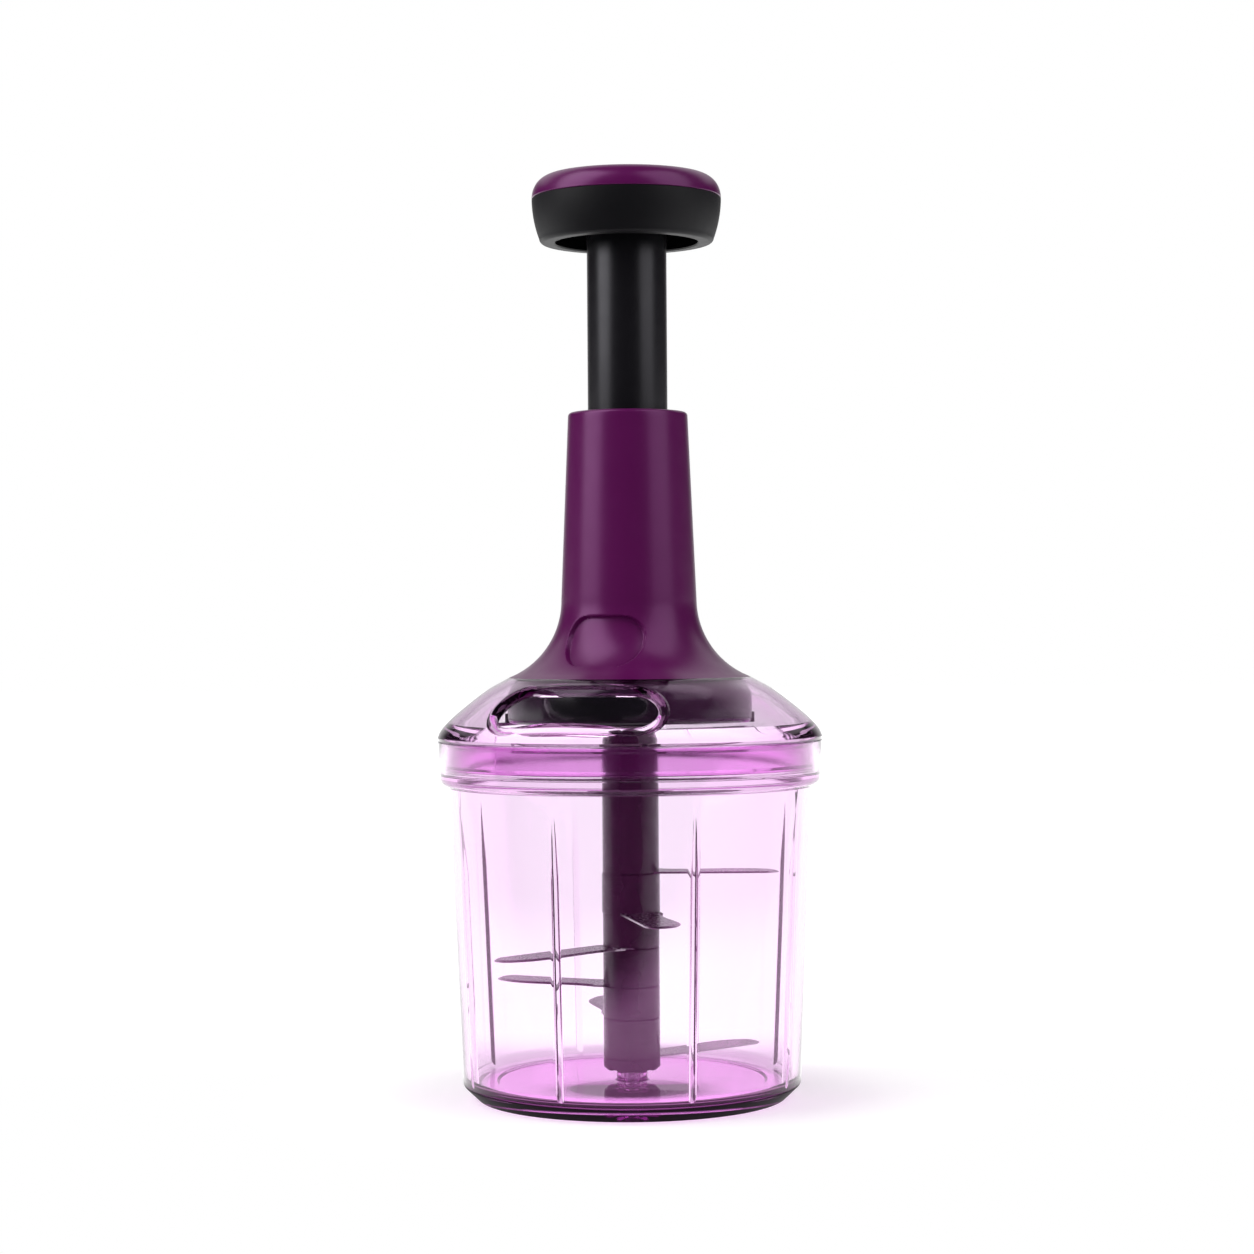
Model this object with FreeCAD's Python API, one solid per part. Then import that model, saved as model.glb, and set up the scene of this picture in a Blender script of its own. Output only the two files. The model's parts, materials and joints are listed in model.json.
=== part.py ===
import FreeCAD, Part
import math
import os

# Plunger food chopper: a clear bowl, a clear domed lid that carries the spring-loaded spiral drive in its
# neck, and a loose column of six blades that the drive turns. Millimetres, +Z up, Z = 0 on the table,
# the axis of the bowl is the Z axis and the front is -Y.

V = FreeCAD.Vector
UP = V(0, 0, 1)
HOME = V(0, 0, 0)

# ---- driving dimensions -------------------------------------------------------------------------------

# bowl
RIM_R = 62.5            # outer radius of the collar and of the lid
RIM_ROUND = 0.4         # rounding of the two edges that meet where the lid sits on the bowl
BOWL_H = 116.2          # rim of the bowl
COLLAR_H = 14.9         # height of the thickened collar
COLLAR_FLARE = 0.9      # how much narrower the collar is at its foot
COLLAR_ROUND = 2.4
COLLAR_STEP = 3.6       # how far the collar stands out from the wall
WALL = 2.4              # bowl wall
HEEL_R = 54.6           # outer radius at the foot of the wall
HEEL_CUT = 4.8          # slope between wall and base
HEEL_ROUND = 1.6        # rounding of the slope's two edges
FLOOR = 5.4             # thickness of the floor
FLOOR_ROUND = 3.0       # rounding between floor and wall
FLOOR_DISC_R = 44.0     # shallow round recess in the floor
FLOOR_DISC_D = 0.6
BOSS_R = 5.0            # boss that carries the pivot pin
BOSS_H = 2.3            # height of the boss over the floor
LEDGE_H = 10.7          # depth of the seat that the lid skirt drops into
LEDGE_SLOPE = 1.2       # fall of the seat towards the wall
RIBS = 8                # ribs inside the wall
RIB_W = 2.4
RIB_D = 1.5             # how far a rib stands into the bowl
RIB_TOP = 95.0          # where a rib dies out
RIB_TAPER = 22.0        # length of its tapered end
RIB_CHAMFER = 0.5
RIB_TURN = -2.2         # degrees from a place midway between front and side

# pivot pin and its bush
PIN_R = 2.5
PIN_SUNK = 6.1          # length of pin moulded into the boss
PIN_STANDS = 9.8        # length of pin above the boss
BUSH_WALL = 0.9
BUSH_FLANGE_R = 4.8
BUSH_FLANGE_T = 0.6

# lid
LID_WALL = 2.2
LID_EDGE = 0.8          # upright edge of the lid over the bowl rim
LID_HAUNCH = 1.2        # extra thickness inside the dome's lowest edge
LID_H = 20.0            # from the bowl rim to the seat of the neck
SKIRT_L = 10.1          # skirt that drops into the bowl
SKIRT_T = 2.1
DECK_T = 2.2            # flat deck under the neck
DECK_BORE_R = 20.0
DOME_SHAPE = ((0.055, 0.135), (0.21, 0.335), (0.48, 0.605), (0.71, 0.808))   # share of run, share of rise
GROOVE_H = 8.5          # groove of the gasket, a soft sleeve round the skirt
GROOVE_D = 1.2
GROOVE_Z = 0.8          # groove above the skirt's lower edge
GASKET_LIP = 0.8        # height of each sealing lip
GASKET_HOLLOW = 0.5     # how far the sleeve draws back between its lips

# oval opening in the dome
FEED_AZ = -110.0        # direction of the opening, from +X
FEED_TILT = 53.0        # its axis above the horizontal
FEED_PLACE = 0.56       # share of the way from the rim up to the deck
FEED_HALF_L = 26.9
FEED_HALF_W = 9.4
FEED_RIM_T = 2.4        # wall of its rim
FEED_RIM_H = 1.6        # how far the rim stands out of the dome

# neck
NECK_FOOT_R = 39.3
NECK_WAIST_R = 22.0
NECK_TOP_R = 19.4
NECK_FLARE = 27.0       # radius of the flare
NECK_L = 86.0           # from the lid's deck to the top
NECK_WALL = 2.4
NECK_EDGE = 1.2
NECK_LAND = 16.2        # length of the thick land that holds the guide bush
NECK_BOSS_R = 4.0
NECK_BOSS_H = 6.4
NECK_BOSS_END = 1.0     # closed end of a boss, over its screw hole
NECK_TURN = 38          # degrees, a point on the flare's arc
PANEL_AZ = -110.0       # sunk oval panel at the foot of the neck
PANEL_RISE = 12.0       # its middle above the deck
PANEL_W = 26.5
PANEL_H = 16.2
PANEL_D = 1.4
PANEL_ROUND = 7.4

# plunger
TUBE_R = 12.95
TUBE_WALL = 1.75
TUBE_TOP_T = 3.0
STROKE = 58.0
GUIDE_WALL = 1.35       # guide bush in the top of the neck
GUIDE_LIP = 0.8
NUT_FLANGE_R = 15.4
NUT_FLANGE_T = 2.0
NUT_GRIP = 5.0          # length of the helical grooves in the nut
NUT_BARREL = 7.0        # press fit in the foot of the tube
NUT_TAPER = 0.5
NUT_BORE_R = 6.5

# knob
KNOB_GAP = 55.1         # neck top to knob rim with the plunger up
KNOB_RIM_R = 28.4
KNOB_RIM_ROUND = 1.5
KNOB_BELLY = 0.5        # how far the flank stands out from a straight line
KNOB_MOUTH_R = 23.3
KNOB_MOUTH_LIP = 2.0    # how much the mouth is narrower than the hollow over it
KNOB_CORNER = 2.0       # rounding inside, between flank and deck
KNOB_BODY_H = 14.5
KNOB_SEAM_R = 30.8
KNOB_DECK_T = 2.8
KNOB_BOSS_R = 16.0
KNOB_BOSS_L = 5.0
KNOB_BOSS_ROUND = 0.7
KNOB_WALL = 2.2
CAP_H = 9.0
CAP_SIDE_H = 3.42       # upright side over the seam
CAP_DRAW = 0.75         # how far that side draws in
CAP_MIDWAY = (0.2, 1.8) # a point of that side: in from the seam, and up from it
CAP_CORNER = (2.2, 1.5) # a point of the rounded corner: in from the seam, and down from the shoulder
CAP_SHOULDER_R = 26.2
CAP_INNER = 1.0         # how much the inner corner is smaller and lower than the outer one
CAP_SHOULDER_DROP = 2.0
CAP_LIP_T = 1.6
CAP_LIP_H = 1.5

# spiral drive
PITCH = 28.0            # plunger travel for one turn
CORE_R = 2.6
RIDGE_R = 3.8           # tip radius of the two helical ridges
RIDGE_W = 1.8
SPINDLE_TIP = 1.0       # chamfered end of the spindle
SHANK_R = 4.0
SHANK_L = 18.0
SHANK_SEAT = 1.3        # foot of the shank above the flange of the output bush
SPIRAL_TOP = 5.0        # spindle left above the nut's grooves with the plunger up
WHEEL_R = 13.0
WHEEL_H = 3.8
TEETH = 12
TOOTH_D = 2.2
RING_R = 22.0           # pawl ring
RING_WALL = 2.0
RING_FLOOR = 1.1
PAWLS = 3
PAWL_T = 1.4
PAWL_SWEEP = 62.0       # degrees
PAWL_WEB = 3.0
PAWL_TIP = 12.0         # degrees

# drive housing under the lid
DRUM_OUT = 0.4          # how far the drum reaches out past the foot of the neck
DRUM_H = 12.5
DRUM_WALL = 2.2
DRUM_TOP_T = 2.0
DRUM_TOP_ROUND = 3.0
DRUM_LOW_ROUND = 1.6
LUG_R = 1.5
LUG_OUT = 0.9
COVER_T = 2.2
COVER_SUNK = 0.2
POST_R = 3.6
POST_INSET = 7.5        # middle of a post from the drum's inner wall
POST_END = 1.0          # closed end of a post, over its screw hole
SCREW_INSET = 12.3      # middle of a neck screw from the foot of the neck
SCREWS = 3
SCREW_R = 1.3
SCREW_HEAD_R = 2.6
SCREW_HEAD_H = 1.8
SEAT_CUP_R = 13.6
SEAT_CUP_DEPTH = 2.6
SEAT_SHEET = 0.9
SEAT_FLANGE_R = 17.0

# return spring
SPRING_R = 9.0          # mean radius
WIRE = 1.1
COILS = 10
SIDES_PER_COIL = 12
WIRE_SIDES = 6

# output shaft and socket
SHAFT_R = 5.5
OUT_BUSH_WALL = 2.0
OUT_BUSH_FLANGE_R = 10.0
OUT_BUSH_FLANGE_T = 0.8
WASHER_T = 1.2
HUB_R = 12.5
HUB_L = 8.6
HUB_TAPER = 0.6
HUB_FLANGE_R = 14.3
HUB_FLANGE_T = 3.0
HEX_AF = 10.8
HEX_ENTRY = 7.2         # length of the hexagon inside the socket
HEX_LEAD = 2.0          # length of its tapered end

# blade column
COLUMN_R = 9.2
COLUMN_PROUD = 0.25     # the first spacer is a little larger
COLUMN_CHAMFER = 0.25
COLUMN_LIP = 1.0        # width of the lip that hides the rim of each blade's hub
COLUMN_SEAM = 0.05      # between a lip and the next spacer
FOOT_CHAMFER = 1.0
FOOT_NOTCH_W = 3.0      # four notches in the lower end
FOOT_NOTCH_R = 6.7
BLADE_T = 0.6
BLADE_REACH = 48.2
BLADE_TIP = 5.5         # length of the rounded tip
BLADE_BACK = 5.2        # straight back edge, from the blade's axis
BLADE_ROOT = 8.3        # cutting edge at the root, from the blade's axis
BLADE_WAIST = 7.1       # where the wavy cutting edge draws in
BLADE_BELLY = 7.9       # where it stands out again
BLADE_SHOULDER = 5.2    # where it meets the tip
BLADE_SUNK = 2.4        # how far the blade runs into its hub
BLADE_BEND = 0.8        # where a bent blade leaves the flat of its hub, outside the column
BLADE_PLAY = 0.1        # blade in the gap of a lip
BLADE_BEVEL = 1.3
BLADE_LEVELS = (72.8, 59.7, 48.5, 36.0, 25.5, 12.5)       # middle of each blade over the table
BLADE_TURNS = (0.0, -78.0, -151.0, 158.3, 101.0, 28.5)    # direction of each blade, from +X
BLADE_DROOPS = (0.0, 0.0, 2.6, 0.0, 0.0, -1.5)            # bend of each blade, downwards

# fastening of the knob
KNOB_SCREW_R = 2.0
KNOB_SCREW_L = 8.5
KNOB_SCREW_HEAD_R = 4.0
KNOB_SCREW_HEAD_H = 2.4

# clearances
RUNNING = 0.05          # radial, shaft in bush
FREE = 0.3              # between pieces that pass each other
LID_PLAY = 0.4          # lid skirt in the bowl collar
GASKET_PLAY = 0.15      # gasket lips to the collar
NUT_PLAY = 0.2          # helical grooves to ridges
SCREW_PLAY = 0.2        # screw in a plain hole
TOOTH_PLAY = 0.15       # pawl tip to tooth
HEX_PLAY = 0.2          # hexagon across flats
OVER = 1.0              # how far a cutting tool runs past what it cuts
NEAR = 1e-3             # places closer than this are one

# ---- places worked out from them ----------------------------------------------------------------------

collar_z = BOWL_H - COLLAR_H
neck_wall_r = RIM_R - COLLAR_STEP
rim_in_r = RIM_R - WALL
ledge_z = BOWL_H - LEDGE_H
boss_top = FLOOR + BOSS_H
pin_top = boss_top + PIN_STANDS
bush_in_r = PIN_R + RUNNING
bush_out_r = bush_in_r + BUSH_WALL
column_z = boss_top + BUSH_FLANGE_T + RUNNING
deck_z = BOWL_H + LID_H
deck_low = deck_z - DECK_T
skirt_r = rim_in_r - LID_PLAY
skirt_low = BOWL_H - SKIRT_L
neck_top = deck_z + NECK_L
guide_r = TUBE_R + FREE
guide_out_r = guide_r + GUIDE_WALL
land_z = neck_top - NECK_LAND
nut_top = land_z - FREE
nut_z = nut_top - NUT_FLANGE_T
tube_z = nut_top
tube_in_r = TUBE_R - TUBE_WALL
knob_z = neck_top + KNOB_GAP
seam_z = knob_z + KNOB_BODY_H
knob_deck = seam_z - KNOB_DECK_T
tube_top = knob_deck
knob_top = seam_z + CAP_H
drum_top = deck_low
drum_z = drum_top - DRUM_H
drum_deck = drum_top - DRUM_TOP_T
drum_r = NECK_FOOT_R + DRUM_OUT
drum_in_r = drum_r - DRUM_WALL
post_circle = drum_in_r - POST_INSET
screw_circle = NECK_FOOT_R - SCREW_INSET
cover_z = drum_z + COVER_SUNK
cover_top = cover_z + COVER_T
seat_z = drum_top - SEAT_CUP_DEPTH
out_flange_z = cover_z - OUT_BUSH_FLANGE_T
washer_z = out_flange_z - RUNNING - WASHER_T
hub_top = washer_z
hub_z = hub_top - HUB_L
ring_z = cover_top + FREE
wheel_z = ring_z + RING_FLOOR + FREE
shaft_top = ring_z + RING_FLOOR
spindle_z = out_flange_z + SHANK_SEAT
spiral_z = spindle_z + SHANK_L
spiral_top = nut_z + NUT_GRIP + SPIRAL_TOP
column_top = hub_z - FREE
hex_top = hub_z + HEX_ENTRY
bush_top = pin_top + FREE


# ---- helpers ------------------------------------------------------------------------------------------

def polar(radius, degrees, z=0.0):
    turn = math.radians(degrees)
    return V(radius * math.cos(turn), radius * math.sin(turn), z)


def corner(before, here, after, radius):
    """Start, middle and end of the arc that rounds the corner at here."""
    one = before - here
    two = after - here
    half = one.getAngle(two) / 2
    reach = radius / math.tan(half)
    longest = 0.48 * min(one.Length, two.Length)
    if reach > longest:
        reach = longest
        radius = reach * math.tan(half)
    one.normalize()
    two.normalize()
    inward = one + two
    inward.normalize()
    middle = here + inward * (radius / math.sin(half) - radius)
    return here + one * reach, middle, here + two * reach


def outline(stations, place):
    """Closed wire through stations: (a, b) is a corner, (a, b, r) a rounded one, (a, b, c, d) ends an arc
    that passes through c, d, and (a, b, list) ends a smooth curve through the listed points."""
    ends = [place(s[0], s[1]) for s in stations]
    count = len(stations)
    arcs = {}
    for i, s in enumerate(stations):
        if len(s) == 3 and not isinstance(s[2], (list, tuple)):
            arcs[i] = corner(ends[i - 1], ends[i], ends[(i + 1) % count], s[2])
    edges = []
    for i, s in enumerate(stations):
        start = arcs[i - 1][2] if (i - 1) in arcs else ends[i - 1]
        if i == 0 and (count - 1) in arcs:
            start = arcs[count - 1][2]
        stop = arcs[i][0] if i in arcs else ends[i]
        if len(s) == 4:
            edges.append(Part.Arc(start, place(s[2], s[3]), stop).toShape())
        elif len(s) == 3 and i not in arcs:
            curve = Part.BSplineCurve()
            curve.interpolate([start] + [place(a, b) for a, b in s[2]] + [stop])
            edges.append(curve.toShape())
        elif start.distanceToPoint(stop) > NEAR:
            edges.append(Part.makeLine(start, stop))
        if i in arcs:
            edges.append(Part.Arc(*arcs[i]).toShape())
    return Part.Wire(edges)


def turned(*stations):
    """Solid of revolution about the Z axis; stations are (radius, height)."""
    face = Part.Face(outline(stations, lambda r, z: V(r, 0, z)))
    solid = face.revolve(HOME, UP, 360)
    return solid if solid.Volume > 0 else solid.reversed()


def slab(stations, z, height):
    """Flat outline in XY, raised by height."""
    face = Part.Face(outline(stations, lambda x, y: V(x, y, z)))
    solid = face.extrude(V(0, 0, height))
    return solid if solid.Volume > 0 else solid.reversed()


def rod(radius, z, top, x=0.0, y=0.0):
    return Part.makeCylinder(radius, top - z, V(x, y, z))


def ring(outer, inner, z, top):
    return rod(outer, z, top).cut(rod(inner, z - OVER, top + OVER))


def hexagon(across, z, top):
    reach = across / math.sqrt(3)
    corners = [polar(reach, a) for a in circle_of(6)]
    return slab([(c.x, c.y) for c in corners], z, top - z)


def at(shape, degrees):
    copy = shape.copy()
    copy.rotate(HOME, UP, degrees)
    return copy


def circle_of(count, first=0.0):
    return [first + 360.0 * i / count for i in range(count)]


def holes(radius, circle, angles, z, top):
    return [rod(radius, z, top, polar(circle, a).x, polar(circle, a).y) for a in angles]


def stadium(half_length, half_width, depth):
    """Rounded slot on the X axis, standing along +Z from the origin."""
    flat = half_length - half_width
    stations = [(-flat, -half_width), (flat, -half_width), (flat, half_width, half_length, 0),
                (-flat, half_width), (-flat, -half_width, -half_length, 0)]
    return slab(stations, 0, depth)


def aimed(shape, azimuth, tilt, target):
    """Turns a shape that stands along +Z to look out along azimuth and tilt, with its foot at target."""
    copy = shape.copy()
    copy.rotate(HOME, UP, 90)
    copy.rotate(HOME, V(0, 1, 0), 90 - tilt)
    copy.rotate(HOME, UP, azimuth)
    copy.translate(target)
    return copy


def single(shape):
    """The one solid in a shape, with faces that lie on one surface joined."""
    tidy = shape.removeSplitter()
    return tidy.Solids[0] if len(tidy.Solids) == 1 else tidy


# ---- bowl ---------------------------------------------------------------------------------------------

def wall_out(z):
    """Outer radius of the bowl wall at a height."""
    return HEEL_R + (neck_wall_r - HEEL_R) * z / collar_z


def bowl_rib():
    foot = FLOOR - FLOOR_DISC_D
    inner = wall_out(FLOOR) - WALL
    high = RIB_TOP - RIB_TAPER
    root = WALL / 2
    stations = [(inner + root, foot), (inner - RIB_D, foot), (wall_out(high) - WALL - RIB_D, high),
                (wall_out(RIB_TOP) - WALL, RIB_TOP), (wall_out(RIB_TOP) - WALL + root, RIB_TOP)]
    face = Part.Face(outline(stations, lambda r, z: V(r, -RIB_W / 2, z)))
    rib = face.extrude(V(0, RIB_W, 0))
    inside = [e for e in rib.Edges if e.CenterOfMass.x < wall_out(e.CenterOfMass.z) - WALL - RIB_D / 3]
    long_edges = [e for e in inside if abs(e.tangentAt(e.FirstParameter).z) > 0.9]
    return rib.makeChamfer(RIB_CHAMFER, long_edges)


def bowl():
    inner_foot = wall_out(FLOOR) - WALL
    disc_z = FLOOR - FLOOR_DISC_D
    shell = turned(
        (0, 0),
        (HEEL_R - HEEL_CUT, 0, HEEL_ROUND),
        (wall_out(HEEL_CUT), HEEL_CUT, HEEL_ROUND),
        (neck_wall_r, collar_z),
        (RIM_R - COLLAR_FLARE, collar_z + COLLAR_FLARE / 2, COLLAR_ROUND),
        (RIM_R, BOWL_H, RIM_ROUND),
        (rim_in_r, BOWL_H),
        (rim_in_r, ledge_z),
        (neck_wall_r - WALL, ledge_z - LEDGE_SLOPE),
        (inner_foot, FLOOR, FLOOR_ROUND),
        (FLOOR_DISC_R, FLOOR),
        (FLOOR_DISC_R - FLOOR_DISC_D, disc_z),
        (BOSS_R, disc_z),
        (BOSS_R, boss_top, BOSS_H / 5),
        (PIN_R, boss_top),
        (PIN_R, boss_top - PIN_SUNK),
        (0, boss_top - PIN_SUNK),
    )
    ribs = [at(bowl_rib(), a) for a in circle_of(RIBS, -90 + 180.0 / RIBS + RIB_TURN)]
    return single(shell.fuse(ribs))


def pivot_pin():
    tip = PIN_R / 2
    return turned((0, boss_top - PIN_SUNK), (PIN_R, boss_top - PIN_SUNK), (PIN_R, pin_top - tip),
                  (PIN_R - tip, pin_top), (0, pin_top))


def pivot_bush():
    flange = ring(BUSH_FLANGE_R, bush_in_r, boss_top, boss_top + BUSH_FLANGE_T)
    cap = rod(bush_out_r, bush_top, bush_top + BUSH_WALL)
    return single(flange.fuse([ring(bush_out_r, bush_in_r, boss_top, bush_top), cap]))


# ---- lid ----------------------------------------------------------------------------------------------

def dome(offset, first_r, last_r):
    """Points of the dome's outer line moved outwards by offset, from the rim up to the deck."""
    low_z = BOWL_H + LID_EDGE
    run = RIM_R - NECK_FOOT_R
    rise = deck_z - low_z
    line = [(RIM_R - run * share_r, low_z + rise * share_z) for share_r, share_z in DOME_SHAPE]
    moved = []
    for i, (r, z) in enumerate(line):
        back = line[i - 1] if i else (RIM_R, low_z)
        ahead = line[i + 1] if i + 1 < len(line) else (NECK_FOOT_R, deck_z)
        slope = V(ahead[0] - back[0], 0, ahead[1] - back[1])
        slope.normalize()
        moved.append((r + slope.z * offset, z - slope.x * offset))
    return [p for p in moved if last_r < p[0] < first_r]


def lid():
    inner_r = skirt_r - SKIRT_T
    low_z = BOWL_H + LID_EDGE
    groove_low = skirt_low + GROOVE_Z
    groove_r = skirt_r - GROOVE_D
    under = dome(-LID_WALL, inner_r, NECK_FOOT_R - 2)
    shell = turned(
        (inner_r, skirt_low),
        (skirt_r, skirt_low, GROOVE_Z / 2),
        (skirt_r, groove_low),
        (groove_r, groove_low),
        (groove_r, groove_low + GROOVE_H),
        (skirt_r, groove_low + GROOVE_H),
        (skirt_r, BOWL_H),
        (RIM_R, BOWL_H, RIM_ROUND),
        (RIM_R, low_z),
        (NECK_FOOT_R, deck_z, dome(0, RIM_R + 1, 0)),
        (DECK_BORE_R, deck_z),
        (DECK_BORE_R, deck_low),
        (NECK_FOOT_R - LID_WALL, deck_low),
        (inner_r, low_z + LID_WALL + LID_HAUNCH, under[::-1]),
    )
    shy = FEED_RIM_H / 2
    collar = turned(
        (NECK_FOOT_R + shy, deck_low - LID_WALL),
        (NECK_FOOT_R + shy, deck_z + FEED_RIM_H),
        (RIM_R - shy, low_z + FEED_RIM_H, dome(FEED_RIM_H, RIM_R + FEED_RIM_H, NECK_FOOT_R + shy)[::-1]),
        (RIM_R - shy, low_z - LID_EDGE / 2),
        (inner_r + shy, low_z),
    )
    middle_r = RIM_R + (NECK_FOOT_R - RIM_R) * FEED_PLACE
    middle = polar(middle_r, FEED_AZ, low_z + (deck_z - low_z) * FEED_PLACE)
    tilt = math.radians(FEED_TILT)
    foot = middle - polar(math.cos(tilt), FEED_AZ, math.sin(tilt)) * (LID_H * 2 / 3)
    rim = stadium(FEED_HALF_L + FEED_RIM_T, FEED_HALF_W + FEED_RIM_T, LID_H * 2)
    hole = stadium(FEED_HALF_L, FEED_HALF_W, LID_H * 2)
    under_dome = turned(
        (0, skirt_low),
        (inner_r, skirt_low),
        (inner_r, low_z + LID_WALL + LID_HAUNCH),
        (NECK_FOOT_R - LID_WALL, deck_low, under),
        (0, deck_low),
    )
    raised = collar.cut(under_dome).common(aimed(rim, FEED_AZ, FEED_TILT, foot))
    whole = shell.fuse(raised).cut(aimed(hole, FEED_AZ, FEED_TILT, foot))
    screws = holes(SCREW_R + SCREW_PLAY, screw_circle, circle_of(SCREWS, 90), deck_low - OVER, deck_z + OVER)
    return single(whole.cut(screws))


def lid_gasket():
    low = skirt_low + GROOVE_Z
    back = skirt_r - GROOVE_D
    lip = rim_in_r - GASKET_PLAY
    hollow = lip - GASKET_HOLLOW
    top = low + GROOVE_H
    return turned(
        (back, low),
        (lip - GASKET_LIP / 4, low),
        (lip, low + GASKET_LIP / 3),
        (lip, low + GASKET_LIP),
        (hollow, low + 2 * GASKET_LIP),
        (hollow, top - 2 * GASKET_LIP),
        (lip, top - GASKET_LIP),
        (lip, top - GASKET_LIP / 3),
        (lip - GASKET_LIP / 4, top),
        (back, top),
    )


# ---- neck ---------------------------------------------------------------------------------------------

def neck_solid(inset):
    """The neck's outer form, moved inwards by inset, solid to the axis."""
    flare = NECK_FLARE + inset
    centre_r = NECK_WAIST_R + NECK_FLARE
    waist_z = deck_z + math.sqrt(NECK_FLARE ** 2 - (centre_r - NECK_FOOT_R) ** 2)
    foot_r = centre_r - math.sqrt(flare ** 2 - (waist_z - deck_z) ** 2)
    turn = math.radians(NECK_TURN)
    return turned(
        (0, deck_z),
        (foot_r, deck_z),
        (NECK_WAIST_R - inset, waist_z, centre_r - flare * math.cos(turn), waist_z - flare * math.sin(turn)),
        (NECK_TOP_R - inset, neck_top - inset / 2),
        (0, neck_top - inset / 2),
    )


def neck_housing():
    solid = neck_solid(0)
    rims = [e for e in solid.Edges if abs(e.BoundBox.ZMin - neck_top) < NEAR and e.Length > NECK_TOP_R]
    solid = solid.makeFillet(NECK_EDGE, rims)
    cavity = neck_solid(NECK_WALL).common(rod(NECK_FOOT_R, deck_z - OVER, land_z))
    angles = circle_of(SCREWS, 90)
    rods = holes(NECK_BOSS_R, screw_circle, angles, deck_z, deck_z + NECK_BOSS_H)
    bosses = [b.common(neck_solid(NECK_WALL / 2)) for b in rods]
    pilots = holes(SCREW_R, screw_circle, angles, deck_z - OVER, deck_z + NECK_BOSS_H - NECK_BOSS_END)
    shell = solid.cut(cavity).fuse(bosses).cut(pilots)
    shell = shell.cut([rod(guide_out_r, land_z - OVER, neck_top + OVER),
                       rod(guide_out_r + GUIDE_LIP, neck_top - GUIDE_LIP, neck_top + OVER)])
    half_w = PANEL_W / 2
    half_h = PANEL_H / 2
    panel = slab([(-half_w, -half_h, PANEL_ROUND), (half_w, -half_h, PANEL_ROUND),
                  (half_w, half_h, PANEL_ROUND), (-half_w, half_h, PANEL_ROUND)], 0, NECK_FOOT_R)
    cutter = aimed(panel, PANEL_AZ, 0, V(0, 0, deck_z + PANEL_RISE)).cut(neck_solid(PANEL_D))
    return single(shell.cut(cutter))


def guide_bush():
    body = ring(guide_out_r, guide_r, land_z, neck_top)
    return single(body.fuse(ring(guide_out_r + GUIDE_LIP, guide_r, neck_top - GUIDE_LIP, neck_top)))


# ---- drive housing under the lid ----------------------------------------------------------------------

def drive_housing():
    shell = turned(
        (drum_in_r, drum_z),
        (drum_r, drum_z, DRUM_LOW_ROUND),
        (drum_r, drum_top, DRUM_TOP_ROUND),
        (SEAT_CUP_R + FREE, drum_top),
        (SEAT_CUP_R + FREE, drum_deck),
        (drum_in_r, drum_deck),
    )
    posts = holes(POST_R, post_circle, circle_of(SCREWS, 30), cover_top, drum_deck)
    lugs = holes(LUG_R, drum_r + LUG_OUT - LUG_R, circle_of(2), drum_z, drum_z + 2 * LUG_R)
    pilots = holes(SCREW_R, post_circle, circle_of(SCREWS, 30), cover_top - OVER, drum_deck - POST_END)
    angles = circle_of(SCREWS, 90)
    passages = holes(SCREW_R + SCREW_PLAY, screw_circle, angles, drum_deck - OVER, drum_top + OVER)
    return single(shell.fuse(posts + lugs).cut(pilots + passages))


def drive_cover():
    plate = ring(drum_in_r - RUNNING, SHAFT_R + RUNNING + OUT_BUSH_WALL, cover_z, cover_top)
    angles = circle_of(SCREWS, 30)
    passages = holes(SCREW_R + SCREW_PLAY, post_circle, angles, cover_z - OVER, cover_top + OVER)
    head_r = SCREW_HEAD_R + SCREW_PLAY
    sinkings = holes(head_r, post_circle, angles, cover_z - OVER, cover_z + COVER_T / 2)
    return single(plate.cut(passages + sinkings))


def screw(shank_r, head_r, head_h, length, slot=True):
    """Pan-head screw along +Z: its head's bearing face at z = 0, the shank above it."""
    body = turned((0, -head_h), (head_r, -head_h, head_h / 2), (head_r, 0), (shank_r, 0),
                  (shank_r, length - shank_r), (shank_r / 3, length), (0, length))
    if slot:
        for turn in (0, 90):
            recess = Part.makeBox(head_r, head_r / 4, head_h / 2, V(-head_r / 2, -head_r / 8, -head_h))
            body = body.cut(at(recess, turn))
    return body


def screw_group(piece, circle, angles, z):
    group = []
    for a in angles:
        copy = piece.copy()
        copy.translate(polar(circle, a, z))
        group.append(copy)
    return Part.makeCompound(group)


def housing_screws():
    length = deck_z + NECK_BOSS_H - NECK_BOSS_END - SCREW_PLAY - drum_deck
    piece = screw(SCREW_R, SCREW_HEAD_R, SCREW_HEAD_H, length)
    return screw_group(piece, screw_circle, circle_of(SCREWS, 90), drum_deck)


def cover_screws():
    sunk = COVER_T / 2
    length = drum_deck - POST_END - SCREW_PLAY - cover_z - sunk
    piece = screw(SCREW_R, SCREW_HEAD_R, sunk, length)
    return screw_group(piece, post_circle, circle_of(SCREWS, 30), cover_z + sunk)


def output_bush():
    inner = SHAFT_R + RUNNING
    return turned((inner, out_flange_z), (OUT_BUSH_FLANGE_R, out_flange_z), (OUT_BUSH_FLANGE_R, cover_z),
                  (inner + OUT_BUSH_WALL, cover_z), (inner + OUT_BUSH_WALL, cover_top), (inner, cover_top))


def spring_seat():
    hole = SHANK_R + 2 * FREE
    outer = SEAT_CUP_R
    inner = outer - SEAT_SHEET
    return turned((hole, seat_z - SEAT_SHEET), (outer, seat_z - SEAT_SHEET), (outer, drum_top),
                  (SEAT_FLANGE_R, drum_top), (SEAT_FLANGE_R, drum_top + SEAT_SHEET),
                  (inner, drum_top + SEAT_SHEET), (inner, seat_z), (hole, seat_z))


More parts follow.
